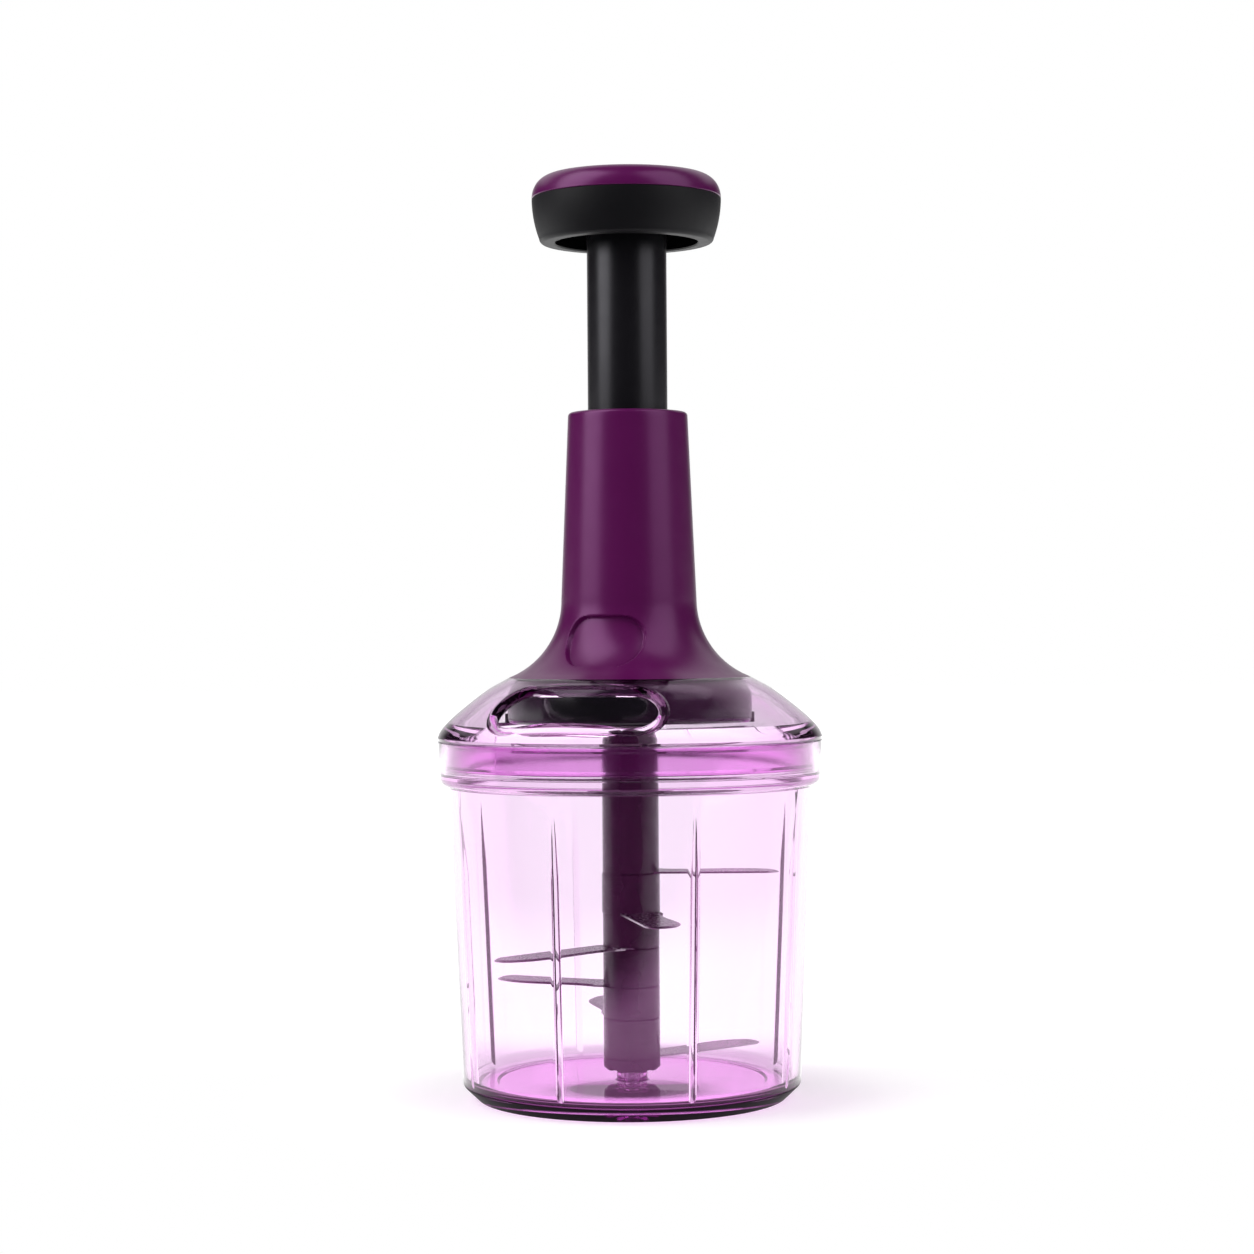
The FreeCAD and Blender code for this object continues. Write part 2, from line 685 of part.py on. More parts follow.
def return_spring():
    """Coil spring as hexagonal wire, one short straight length after another."""
    low = seat_z + WIRE / 2
    travel = nut_z - seat_z - WIRE
    steps = COILS * SIDES_PER_COIL
    sections = []
    for i in range(steps + 1):
        turn = 360.0 * i / SIDES_PER_COIL
        middle_z = low + travel * i / steps
        section = []
        for side in circle_of(WIRE_SIDES) + [0.0]:
            around = math.radians(side)
            reach = SPRING_R + WIRE / 2 * math.cos(around)
            section.append(polar(reach, turn, middle_z + WIRE / 2 * math.sin(around)))
        sections.append(Part.makePolygon(section))
    return Part.makeLoft(sections, True, True)


# ---- spiral drive -------------------------------------------------------------------------------------

def twisted_bar(play, low, top):
    """Flat bar through the axis, twisted at the pitch of the drive, whose two edges are the ridges of the
    spindle; play makes it larger on every side."""
    reach = RIDGE_R + play
    half = RIDGE_W / 2 + play
    corners = [V(reach, half, low), V(-reach, half, low), V(-reach, -half, low), V(reach, -half, low)]
    guide = Part.makeHelix(PITCH, top - low, reach)
    guide.translate(V(0, 0, low))
    sweep = Part.BRepOffsetAPI.MakePipeShell(Part.Wire([Part.makeLine(V(0, 0, low), V(0, 0, top))]))
    sweep.setAuxiliarySpine(Part.Wire(guide.Edges), True, 0)
    sweep.add(Part.makePolygon(corners + corners[:1]))
    sweep.build()
    sweep.makeSolid()
    return at(sweep.shape(), 360 * (low - spiral_z) / PITCH)


def spiral_spindle():
    shoulder = spiral_top - SPINDLE_TIP
    core = turned((0, spiral_z), (CORE_R, spiral_z), (CORE_R, shoulder), (CORE_R - SPINDLE_TIP, spiral_top),
                  (0, spiral_top))
    shank = rod(SHANK_R, spindle_z, spiral_z)
    return single(shank.fuse([core, twisted_bar(0, spiral_z, shoulder)]))


def drive_nut():
    grip_top = nut_z + NUT_GRIP
    barrel_top = nut_top + NUT_BARREL
    body = turned(
        (CORE_R + NUT_PLAY, nut_z),
        (NUT_FLANGE_R, nut_z),
        (NUT_FLANGE_R, nut_top),
        (tube_in_r, nut_top),
        (tube_in_r - NUT_TAPER, barrel_top),
        (NUT_BORE_R, barrel_top),
        (NUT_BORE_R, grip_top),
        (CORE_R + NUT_PLAY, grip_top),
    )
    return single(body.cut(twisted_bar(NUT_PLAY, nut_z - OVER, grip_top + OVER)))


def ratchet_wheel():
    step = 360.0 / TEETH
    points = []
    for i in range(TEETH):
        for radius, turn in ((WHEEL_R - TOOTH_D, i * step), (WHEEL_R, (i + 1) * step)):
            place = polar(radius, turn)
            points.append((place.x, place.y))
    return slab(points, wheel_z, WHEEL_H).cut(rod(SHANK_R, wheel_z - OVER, wheel_z + WHEEL_H + OVER))


def pawl():
    """Sprung arm of the pawl ring: a web on the ring, a curved arm and a tip in the gap of two teeth."""
    arm_r = WHEEL_R + 2 * FREE + PAWL_T
    arm = ring(arm_r, arm_r - PAWL_T, wheel_z, wheel_z + WHEEL_H)
    wedge = at(Part.makeCylinder(arm_r + OVER, WHEEL_H, V(0, 0, wheel_z), UP, PAWL_SWEEP), -PAWL_SWEEP)
    arm = arm.common(wedge)
    web_r = arm_r - PAWL_T / 2
    web_l = RING_R - RING_WALL / 2 - web_r
    web = Part.makeBox(web_l, PAWL_WEB, WHEEL_H, V(web_r, -PAWL_WEB, wheel_z))
    tip_r = WHEEL_R - TOOTH_D + 2 * TOOTH_PLAY
    turns = (-PAWL_SWEEP, PAWL_TIP - PAWL_SWEEP, -PAWL_SWEEP)
    radii = (tip_r, arm_r - PAWL_T / 2, arm_r)
    points = [(polar(r, a).x, polar(r, a).y) for r, a in zip(radii, turns)]
    return arm.fuse([web, slab(points, wheel_z, WHEEL_H)])


def pawl_ring():
    wall = ring(RING_R, RING_R - RING_WALL, ring_z, wheel_z + WHEEL_H)
    floor = ring(RING_R, SHAFT_R, ring_z, ring_z + RING_FLOOR)
    step = 360.0 / TEETH
    lead = math.degrees(TOOTH_PLAY / WHEEL_R)
    first = PAWL_SWEEP - math.floor(PAWL_SWEEP / step) * step + lead
    arms = [at(pawl(), first + a) for a in circle_of(PAWLS)]
    return single(wall.fuse([floor] + arms))


def drive_socket():
    body = turned(
        (0, hub_z),
        (HUB_FLANGE_R, hub_z, HUB_FLANGE_T / 3),
        (HUB_FLANGE_R, hub_z + HUB_FLANGE_T, HUB_FLANGE_T / 3),
        (HUB_R, hub_z + HUB_FLANGE_T),
        (HUB_R - HUB_TAPER, hub_top),
        (SHAFT_R, hub_top),
        (SHAFT_R, shaft_top),
        (SHANK_R + RUNNING, shaft_top),
        (SHANK_R + RUNNING, spindle_z - FREE),
        (0, spindle_z - FREE),
    )
    return single(body.cut(hexagon(HEX_AF + HEX_PLAY, hub_z - OVER, hex_top + FREE)))


def thrust_washer():
    return ring(OUT_BUSH_FLANGE_R, SHAFT_R, washer_z, washer_z + WASHER_T)


# ---- plunger ------------------------------------------------------------------------------------------

def plunger_tube():
    return turned(
        (tube_in_r, tube_z),
        (TUBE_R, tube_z),
        (TUBE_R, tube_top),
        (KNOB_SCREW_R, tube_top),
        (KNOB_SCREW_R, tube_top - TUBE_TOP_T),
        (tube_in_r, tube_top - TUBE_TOP_T, TUBE_TOP_T / 3),
    )


def knob_body():
    boss_z = knob_deck - KNOB_BOSS_L
    foot_z = knob_z + KNOB_RIM_ROUND
    draw = KNOB_RIM_ROUND * (1 - math.sqrt(0.5))
    flank_r = (KNOB_RIM_R + KNOB_SEAM_R) / 2 + KNOB_BELLY
    lip_r = KNOB_SEAM_R - KNOB_WALL - RUNNING
    return turned(
        (KNOB_MOUTH_R, knob_z),
        (KNOB_RIM_R - KNOB_RIM_ROUND, knob_z),
        (KNOB_RIM_R, foot_z, KNOB_RIM_R - draw, knob_z + draw),
        (KNOB_SEAM_R, seam_z, flank_r, (foot_z + seam_z) / 2),
        (lip_r, seam_z),
        (lip_r, seam_z + CAP_LIP_H),
        (lip_r - CAP_LIP_T, seam_z + CAP_LIP_H),
        (lip_r - CAP_LIP_T, seam_z),
        (KNOB_SCREW_R + SCREW_PLAY, seam_z),
        (KNOB_SCREW_R + SCREW_PLAY, knob_deck),
        (TUBE_R, knob_deck),
        (TUBE_R, boss_z),
        (KNOB_BOSS_R, boss_z, KNOB_BOSS_ROUND),
        (KNOB_BOSS_R, knob_deck, KNOB_BOSS_ROUND),
        (lip_r - CAP_LIP_T, knob_deck, KNOB_CORNER),
        (KNOB_MOUTH_R + KNOB_MOUTH_LIP, knob_z + 2 * KNOB_MOUTH_LIP, KNOB_MOUTH_LIP / 2),
    )


def crown(radius):
    """Height of the cap's crown at a radius; the crown is part of a ball centred on the axis."""
    ball = (CAP_SHOULDER_R ** 2 + CAP_SHOULDER_DROP ** 2) / (2 * CAP_SHOULDER_DROP)
    return knob_top - ball + math.sqrt(ball ** 2 - radius ** 2)


def knob_cap():
    shoulder_z = crown(CAP_SHOULDER_R)
    side_z = seam_z + CAP_SIDE_H
    inside = KNOB_SEAM_R - KNOB_WALL
    inner_shoulder = CAP_SHOULDER_R - CAP_INNER
    half_way = CAP_SHOULDER_R / 2
    return turned(
        (inside, seam_z),
        (KNOB_SEAM_R, seam_z),
        (KNOB_SEAM_R - CAP_DRAW, side_z, KNOB_SEAM_R - CAP_MIDWAY[0], seam_z + CAP_MIDWAY[1]),
        (CAP_SHOULDER_R, shoulder_z, KNOB_SEAM_R - CAP_CORNER[0], shoulder_z - CAP_CORNER[1]),
        (0, knob_top, half_way, crown(half_way)),
        (0, knob_top - KNOB_WALL),
        (inner_shoulder, crown(inner_shoulder) - KNOB_WALL, half_way, crown(half_way) - KNOB_WALL),
        (inside, side_z - CAP_INNER),
    )


def knob_screw():
    piece = screw(KNOB_SCREW_R, KNOB_SCREW_HEAD_R, KNOB_SCREW_HEAD_H, KNOB_SCREW_L)
    piece.rotate(HOME, V(1, 0, 0), 180)
    piece.translate(V(0, 0, seam_z))
    return piece


# ---- blade column -------------------------------------------------------------------------------------

def blade_core():
    body = hexagon(HEX_AF, column_z, hex_top)
    lead = turned(
        (0, column_z),
        (HEX_AF, column_z),
        (HEX_AF, hex_top - HEX_LEAD),
        (HEX_AF / 2 - HEX_PLAY, hex_top),
        (0, hex_top),
    )
    bore = rod(bush_out_r + RUNNING, column_z - OVER, bush_top + BUSH_WALL + FREE)
    return single(body.common(lead).cut(bore))


def column_segment(low, top, radius, blade_turn):
    """Spacer whose lip reaches down round the hub of the blade under it, with a gap for that blade."""
    edge = COLUMN_CHAMFER
    lip_z = low - BLADE_T + COLUMN_SEAM
    body = turned(
        (0, low),
        (COLUMN_R - COLUMN_LIP, low),
        (COLUMN_R - COLUMN_LIP, lip_z),
        (radius - edge, lip_z),
        (radius, lip_z + edge),
        (radius, top - edge),
        (radius - edge, top),
        (0, top),
    )
    width = BLADE_BACK + BLADE_ROOT + 2 * BLADE_PLAY
    gap = Part.makeBox(radius, width, BLADE_T, V(0, -BLADE_BACK - BLADE_PLAY, low - BLADE_T))
    return single(body.cut([at(gap, blade_turn), hexagon(HEX_AF, low - OVER, top + OVER)]))


def column_foot():
    low = column_z
    top = BLADE_LEVELS[-1] - BLADE_T / 2
    body = turned(
        (0, low),
        (COLUMN_R - FOOT_CHAMFER, low),
        (COLUMN_R, low + FOOT_CHAMFER),
        (COLUMN_R, top - COLUMN_CHAMFER),
        (COLUMN_R - COLUMN_CHAMFER, top),
        (0, top),
    )
    notch = Part.makeBox(COLUMN_R, FOOT_NOTCH_W, FOOT_CHAMFER, V(FOOT_NOTCH_R, -FOOT_NOTCH_W / 2, low))
    notches = [at(notch, a) for a in circle_of(4, 45)]
    return single(body.cut(notches + [hexagon(HEX_AF, low - OVER, top + OVER)]))


def blade(level, turn, droop):
    """Blade with a straight back, a wavy cutting edge with a bevel, and a round hub that fits the hexagon.
    Outside the column it bends down by droop degrees."""
    low = level - BLADE_T / 2
    bend_r = COLUMN_R + BLADE_BEND
    tip_y = -BLADE_BACK * 0.35
    shoulder_x = BLADE_REACH - BLADE_TIP * 0.73
    stations = [
        (bend_r, -BLADE_BACK),
        (BLADE_REACH - BLADE_TIP, -BLADE_BACK),
        (BLADE_REACH, tip_y, BLADE_REACH - BLADE_TIP * 0.29, -BLADE_BACK + BLADE_TIP * 0.2),
        (shoulder_x, BLADE_SHOULDER, BLADE_REACH - BLADE_TIP * 0.13, BLADE_SHOULDER * 0.42),
        (bend_r, BLADE_ROOT, [(BLADE_REACH * 0.74, BLADE_BELLY), (BLADE_REACH * 0.42, BLADE_WAIST)]),
    ]
    plate = slab(stations, low, BLADE_T)
    edges = []
    for e in plate.Edges:
        middle = e.valueAt((e.FirstParameter + e.LastParameter) / 2)
        on_top = middle.z > low + BLADE_T / 2 and e.BoundBox.ZLength < 1e-6
        if on_top and middle.y > 0 and middle.x > bend_r + NEAR:
            edges.append(e)
    plate = plate.makeChamfer(BLADE_T * 0.75, BLADE_BEVEL, edges)
    plate.rotate(V(bend_r, 0, level), V(0, 1, 0), droop)
    root_r = COLUMN_R - BLADE_SUNK
    root_l = bend_r + BLADE_T / 3 - root_r
    root = Part.makeBox(root_l, BLADE_BACK + BLADE_ROOT, BLADE_T, V(root_r, -BLADE_BACK, low))
    hub = rod(COLUMN_R - COLUMN_LIP - BLADE_PLAY, low, low + BLADE_T)
    return single(at(plate.fuse([root, hub]), turn).cut(hexagon(HEX_AF, low - OVER, low + BLADE_T + OVER)))


# ---- export -------------------------------------------------------------------------------------------

pieces = {
    "bowl": bowl(),
    "pivot_pin": pivot_pin(),
    "pivot_bush": pivot_bush(),
    "lid": lid(),
    "lid_gasket": lid_gasket(),
    "neck_housing": neck_housing(),
    "guide_bush": guide_bush(),
    "drive_housing": drive_housing(),
    "drive_cover": drive_cover(),
    "housing_screws": housing_screws(),
    "cover_screws": cover_screws(),
    "output_bush": output_bush(),
    "spring_seat": spring_seat(),
    "return_spring": return_spring(),
    "spiral_spindle": spiral_spindle(),
    "drive_nut": drive_nut(),
    "ratchet_wheel": ratchet_wheel(),
    "pawl_ring": pawl_ring(),
    "drive_socket": drive_socket(),
    "thrust_washer": thrust_washer(),
    "plunger_tube": plunger_tube(),
    "knob_body": knob_body(),
    "knob_cap": knob_cap(),
    "knob_screw": knob_screw(),
    "blade_core": blade_core(),
    "column_foot": column_foot(),
}

half = BLADE_T / 2
pieces["column_sleeve"] = column_segment(BLADE_LEVELS[0] + half, column_top, COLUMN_R, BLADE_TURNS[0])
for number, (above, below) in enumerate(zip(BLADE_LEVELS, BLADE_LEVELS[1:]), start=1):
    outer_r = COLUMN_R + COLUMN_PROUD if number == 1 else COLUMN_R
    pieces[f"spacer_{number}"] = column_segment(below + half, above - half, outer_r, BLADE_TURNS[number])
for number, (level, turn, droop) in enumerate(zip(BLADE_LEVELS, BLADE_TURNS, BLADE_DROOPS), start=1):
    pieces[f"blade_{number}"] = blade(level, turn, droop)

os.makedirs("parts", exist_ok=True)
for name, shape in pieces.items():
    shape.exportStep(f"parts/{name}.step")
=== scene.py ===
"""Plunger food chopper: its visible pieces, their finishes and its stage. All lengths are metres."""

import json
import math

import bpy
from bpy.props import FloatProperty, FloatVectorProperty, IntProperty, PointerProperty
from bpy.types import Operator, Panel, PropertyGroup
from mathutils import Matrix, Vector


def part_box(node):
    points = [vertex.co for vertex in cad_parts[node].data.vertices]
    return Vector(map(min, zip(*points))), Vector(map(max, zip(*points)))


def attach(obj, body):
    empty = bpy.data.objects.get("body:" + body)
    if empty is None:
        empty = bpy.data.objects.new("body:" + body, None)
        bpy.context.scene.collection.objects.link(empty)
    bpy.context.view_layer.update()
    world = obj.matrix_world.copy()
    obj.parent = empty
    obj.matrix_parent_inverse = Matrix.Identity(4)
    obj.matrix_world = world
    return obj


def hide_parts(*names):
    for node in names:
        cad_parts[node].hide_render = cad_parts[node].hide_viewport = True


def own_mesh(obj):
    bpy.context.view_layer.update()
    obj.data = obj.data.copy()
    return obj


bl_info = {
    "name": "Plunger Food Chopper",
    "version": (1, 0, 0),
    "blender": (4, 5, 0),
    "location": "View3D > Sidebar > Chopper",
    "description": "Models the bowl, lid, neck, plunger and drive of a plunger food chopper",
    "category": "Add Mesh",
}

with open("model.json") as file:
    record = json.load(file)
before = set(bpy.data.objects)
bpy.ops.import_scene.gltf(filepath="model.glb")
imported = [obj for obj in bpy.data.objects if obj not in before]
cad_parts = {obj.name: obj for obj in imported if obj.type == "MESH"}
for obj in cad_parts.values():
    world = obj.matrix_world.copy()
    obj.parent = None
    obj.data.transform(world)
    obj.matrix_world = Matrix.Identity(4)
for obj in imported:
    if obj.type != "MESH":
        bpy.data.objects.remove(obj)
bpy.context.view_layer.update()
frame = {"nodes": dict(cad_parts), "record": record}

BOWL_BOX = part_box("bowl")
LID_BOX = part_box("lid")
NECK_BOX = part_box("neck_housing")
DRUM_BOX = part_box("drive_housing")
TUBE_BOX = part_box("plunger_tube")
KNOB_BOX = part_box("knob_body")
CAP_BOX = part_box("knob_cap")
SPRING_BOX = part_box("return_spring")

MERGE = 1e-6                                 # vertices nearer than this are one
SMOOTH_ANGLE = math.radians(30)              # an edge that turns by more than this stays sharp
ROUND_ANGLE = math.radians(50)               # the same on forms that are round all over
QUARTER_TURN = math.pi / 2
CRISP, SOFT, FULL = 0.0003, 0.0005, 0.0008   # roundings of moulded edges
PLASTIC_IOR = 1.5
NOISE_ZONE = (0.3, 0.7)                      # most of a noise lies between these
finishes = {}                                # every finish, by the record's slot or its own name


# ---- sizes and colours that a user would change --------------------------------------------------

def length(name, description, default):
    """A size in metres that a user may change."""
    return FloatProperty(name=name, description=description, default=default, min=0.0, unit="LENGTH",
                         precision=4)


def tint(name, description, default):
    """A colour that a user may change."""
    return FloatVectorProperty(name=name, description=description, default=default, size=3, min=0.0,
                               max=1.0, subtype="COLOR")


def angle(name, description, degrees):
    """An angle that a user may change, its default given in degrees."""
    return FloatProperty(name=name, description=description, default=math.radians(degrees),
                         subtype="ANGLE", unit="ROTATION")


class BowlSizes(PropertyGroup):
    wall: length("Wall", "Thickness of the bowl wall", 0.0024)
    heel_radius: length("Heel radius", "Outer radius at the foot of the wall", 0.0546)
    heel_cut: length("Heel cut", "Slope between wall and base", 0.0048)
    heel_round: length("Heel rounding", "Rounding of that slope's edges", 0.0016)
    floor: length("Floor", "Thickness of the floor", 0.0054)
    floor_round: length("Floor rounding", "Rounding between floor and wall", 0.0030)
    disc_radius: length("Disc radius", "Radius of the shallow recess in the floor", 0.0440)
    disc_depth: length("Disc depth", "Depth of that recess", 0.0006)
    boss_radius: length("Boss radius", "Boss that carries the pivot pin", 0.0050)
    boss_height: length("Boss height", "Height of the boss over the floor", 0.0023)
    pin_radius: length("Pin radius", "Radius of the pivot pin", 0.0025)
    pin_sunk: length("Pin depth", "Length of pin held in the boss", 0.0061)
    collar_height: length("Collar height", "Height of the thick collar", 0.0149)
    collar_step: length("Collar step", "How far the collar stands out from the wall", 0.0036)
    collar_flare: length("Collar flare", "How much narrower the collar is at its foot", 0.0009)
    collar_round: length("Collar rounding", "Rounding of the collar's foot", 0.0024)
    ledge_depth: length("Ledge depth", "Depth of the seat of the lid skirt", 0.0107)
    ledge_slope: length("Ledge slope", "Fall of that seat towards the wall", 0.0002)
    rib_width: length("Rib width", "Width of a rib at the wall", 0.0025)
    rib_depth: length("Rib depth", "How far a rib stands into the bowl", 0.0015)
    rib_top: length("Rib top", "Height where a rib dies out", 0.0965)
    rib_taper: length("Rib taper", "Length of the tapered end of a rib", 0.0220)
    rib_turn: angle("Rib turn", "Turn of the ribs from a place midway between front and side", -2.2)
    ribs: IntProperty(name="Ribs", description="Ribs inside the wall", default=8, min=1)


class LidSizes(PropertyGroup):
    wall: length("Wall", "Thickness of the dome", 0.0022)
    edge: length("Edge", "Upright edge over the bowl rim", 0.0008)
    haunch: length("Haunch", "Extra thickness inside the dome's lowest edge", 0.0012)
    skirt_length: length("Skirt length", "Skirt that drops into the bowl", 0.0101)
    skirt_wall: length("Skirt wall", "Thickness of the skirt", 0.0021)
    skirt_play: length("Skirt play", "Gap between skirt and collar", 0.0004)
    deck: length("Deck", "Thickness of the flat deck under the neck", 0.0022)
    bore_radius: length("Bore radius", "Hole in the deck", 0.0200)
    groove_height: length("Groove height", "Height of the gasket groove", 0.0085)
    groove_depth: length("Groove depth", "Depth of the gasket groove", 0.0012)
    groove_rise: length("Groove rise", "Groove above the lower edge of the skirt", 0.0008)
    opening_length: length("Opening length", "Half length of the oval opening", 0.0269)
    opening_width: length("Opening width", "Half width of the oval opening", 0.0094)
    opening_place: FloatProperty(name="Opening place", default=0.56, min=0.0, max=1.0,
                                 description="Share of the way from the rim up to the deck")
    bead: length("Bead", "Radius of the bead round the opening", 0.0019)
    opening_azimuth: angle("Opening azimuth", "Direction of the opening from +X", -110.0)
    opening_tilt: angle("Opening tilt", "Axis of the opening above the horizontal", 53.0)


class NeckSizes(PropertyGroup):
    foot_radius: length("Foot radius", "Outer radius at the foot", 0.0393)
    waist_radius: length("Waist radius", "Outer radius where the flare ends", 0.0220)
    top_radius: length("Top radius", "Outer radius at the top", 0.0194)
    flare: length("Flare", "Radius of the flare", 0.0270)
    wall: length("Wall", "Thickness of the neck wall", 0.0024)
    top_round: length("Top rounding", "Rounding of the top edge", 0.0012)
    land: length("Land", "Length of the land that holds the guide bush", 0.0162)
    bush_radius: length("Bush radius", "Bore for the guide bush", 0.0146)
    lip: length("Lip", "Seat of the lip of the guide bush", 0.0008)
    panel_width: length("Panel width", "Width of the sunk panel", 0.0265)
    panel_height: length("Panel height", "Height of the sunk panel", 0.0162)
    panel_round: length("Panel rounding", "Rounding of the panel's corners", 0.0076)
    panel_depth: length("Panel depth", "Depth of the sunk panel", 0.0016)
    panel_edge: length("Panel edge", "Width of the panel's sloping edge", 0.0005)
    panel_rise: length("Panel rise", "Middle of the panel above the foot", 0.0120)
    panel_azimuth: angle("Panel azimuth", "Direction of the panel from +X", -110.0)


class KnobSizes(PropertyGroup):
    rim_radius: length("Rim radius", "Outer radius at the lower rim", 0.0284)
    mouth_radius: length("Mouth radius", "Inner radius at the lower rim", 0.0233)
    seam_radius: length("Seam radius", "Outer radius at the seam with the cap", 0.0308)
    wall: length("Wall", "Thickness of the shells", 0.0022)
    deck: length("Deck", "Thickness of the deck under the cap", 0.0028)
    boss_radius: length("Boss radius", "Boss round the tube", 0.0160)
    boss_length: length("Boss length", "Length of that boss", 0.0050)
    shoulder_radius: length("Shoulder radius", "Radius where the crown begins", 0.0262)
    shoulder_drop: length("Shoulder drop", "Shoulder below the middle of the crown", 0.0020)
    seam_gap: length("Seam gap", "Rounding on both sides of the seam", 0.00025)


class DriveSizes(PropertyGroup):
    wall: length("Wall", "Thickness of the drum wall", 0.0022)
    deck: length("Deck", "Thickness of the drum's top", 0.0020)
    radius: length("Radius", "Outer radius of the drum", 0.0397)
    top_round: length("Top rounding", "Rounding of the upper edge", 0.0030)
    low_round: length("Lower rounding", "Rounding of the lower edge", 0.0016)
    seat_radius: length("Seat radius", "Hole for the spring seat", 0.0139)
    wire: length("Wire", "Thickness of the spring wire", 0.0011)
    travel: length("Travel", "How far the plunger goes down", 0.0580)
    coils: IntProperty(name="Coils", description="Coils of the return spring", default=10, min=1)


class Finishes(PropertyGroup):
    clear: tint("Clear plastic", "Colour that the clear plastic lets through", (0.733, 0.117, 0.717))
    purple: tint("Purple plastic", "Neck and cap", (0.098, 0.0040, 0.076))
    black: tint("Black plastic", "Tube, knob and drum", (0.0062, 0.0060, 0.0078))
    column: tint("Column plastic", "Blade column", (0.022, 0.004, 0.016))
    gasket: tint("Gasket", "Colour that the soft seal of the lid lets through", (0.804, 0.175, 0.788))
    acetal: tint("Acetal", "Bushes and ratchet", (0.60, 0.59, 0.56))
    absorption: FloatProperty(name="Absorption", default=74.0, min=0.0,
                              description="How strongly the clear plastic takes light, per metre")
    gasket_absorption: FloatProperty(name="Gasket absorption", default=500.0, min=0.0,
                                     description="How strongly the seal takes light, per metre")


class StageSettings(PropertyGroup):
    eye_height: length("Eye height", "Height of the camera", 0.1525)
    eye_distance: length("Eye distance", "Distance of the camera from the axis", 0.911)
    eye_side: FloatProperty(name="Eye side", default=-0.0007, unit="LENGTH",
                            description="Camera to the right of the axis")
    lean: angle("Lean", "Turn of the camera about its own axis", -0.39)
    lens: FloatProperty(name="Lens", description="Focal length", default=80.38, min=1.0, unit="CAMERA")
    floor_size: length("Floor size", "Side of the floor", 12.0)
    # Painted light: the floor under the object glows in this colour, standing in for light tinted by the
    # clear base.
    under: tint("Under", "Colour of the floor under the object", (1.0, 0.55, 0.97))
    sweep_edge: length("Sweep edge", "Front edge of the white sweep, from the axis", 0.169)
    sweep_turn: angle("Sweep turn", "Slant of that edge", 25.8)
    sweep_reach: length("Sweep reach", "How far in front the white sweep fades out", 0.70)
    sweep_glow: FloatProperty(name="Sweep glow", default=1.5, min=0.0,
                              description="Brightness of the white sweep, for gloss")
    back_glow: FloatProperty(name="Back glow", default=1.50, min=0.1,
                             description="Brightness of the floor close behind the object")
    room: tint("Room", "Colour of the dim room in front, for gloss", (0.036, 0.028, 0.036))
    # Painted reflection: gloss from inside clear plastic sees the room in this purple.
    painted_inner_reflection: tint("Inner room", "Colour of the room for gloss inside clear plastic", (0.24, 0.07, 0.21))
    world_light: FloatProperty(name="World light", default=0.22, min=0.0,
                               description="Soft light from all round")


SETTINGS = {
    "chopper_bowl": BowlSizes,
    "chopper_lid": LidSizes,
    "chopper_neck": NeckSizes,
    "chopper_knob": KnobSizes,
    "chopper_drive": DriveSizes,
    "chopper_finishes": Finishes,
    "chopper_stage": StageSettings,
}


# ---- outlines ------------------------------------------------------------------------------------

def corner(before, here, after, radius, steps):
    """Points of the arc that rounds the corner at here."""
    here = Vector(here[:2])
    one = (Vector(before[:2]) - here).normalized()
    two = (Vector(after[:2]) - here).normalized()
    half = one.angle(two) / 2
    reach = radius / math.tan(half)
    centre = here + (one + two).normalized() * (radius / math.sin(half))
    start = here + one * reach - centre
    stop = here + two * reach - centre
    return [centre + start.slerp(stop, i / steps) * radius for i in range(steps + 1)]


def rounded(stations, steps=6):
    """Points of an outline whose stations are (radius, height), and a rounding at a rounded corner."""
    points = []
    for i, here in enumerate(stations):
        if len(here) == 3:
            points += corner(stations[i - 1], here, stations[(i + 1) % len(stations)], here[2], steps)
        else:
            points.append(Vector(here))
    return points


def arc(start, through, stop, steps):
    """Points of the arc from start to stop that passes through a third point, without its start."""
    a, b, c = Vector(start), Vector(through), Vector(stop)
    turn = 2 * (a.x * (b.y - c.y) + b.x * (c.y - a.y) + c.x * (a.y - b.y))
    centre = Vector(((a.length_squared * (b.y - c.y) + b.length_squared * (c.y - a.y)
                      + c.length_squared * (a.y - b.y)) / turn,
                     (a.length_squared * (c.x - b.x) + b.length_squared * (a.x - c.x)
                      + c.length_squared * (b.x - a.x)) / turn))
    first = a - centre
    last = c - centre
    return [centre + first.slerp(last, i / steps) * first.length for i in range(1, steps + 1)]


def flowing(points, steps):
    """Points of a smooth curve through the given ones, without the first."""
    line = [Vector(p) for p in points]
    ends = [line[0] * 2 - line[1]] + line + [line[-1] * 2 - line[-2]]
    smooth = []
    for p, q, r, s in zip(ends, ends[1:], ends[2:], ends[3:]):
        for i in range(1, steps + 1):
            t = i / steps
            smooth.append(0.5 * ((2 * q) + (r - p) * t + (2 * p - 5 * q + 4 * r - s) * t ** 2
                                 + (3 * q - p - 3 * r + s) * t ** 3))
    return smooth


# ---- modelling by hand ---------------------------------------------------------------------------

def put_down():
    """Leaves edit mode with nothing selected."""
    if bpy.context.object and bpy.context.object.mode != "OBJECT":
        bpy.ops.object.mode_set(mode="OBJECT")
    bpy.ops.object.select_all(action="DESELECT")


def pick_up(piece):
    """Makes a piece the active one, and the only one selected."""
    put_down()
    piece.select_set(True)
    bpy.context.view_layer.objects.active = piece


def edit(action="SELECT"):
    """Opens the active piece in edit mode, all of it selected or all of it deselected."""
    bpy.ops.object.mode_set(mode="EDIT")
    bpy.ops.mesh.select_all(action=action)


def leave_edit():
    bpy.ops.object.mode_set(mode="OBJECT")


def settle():
    """Moves the place, turn and scale of the active piece into its mesh."""
    bpy.ops.object.transform_apply(location=True, rotation=True, scale=True)


def extrude(shift):
    bpy.ops.mesh.extrude_region_move(TRANSFORM_OT_translate={"value": shift})


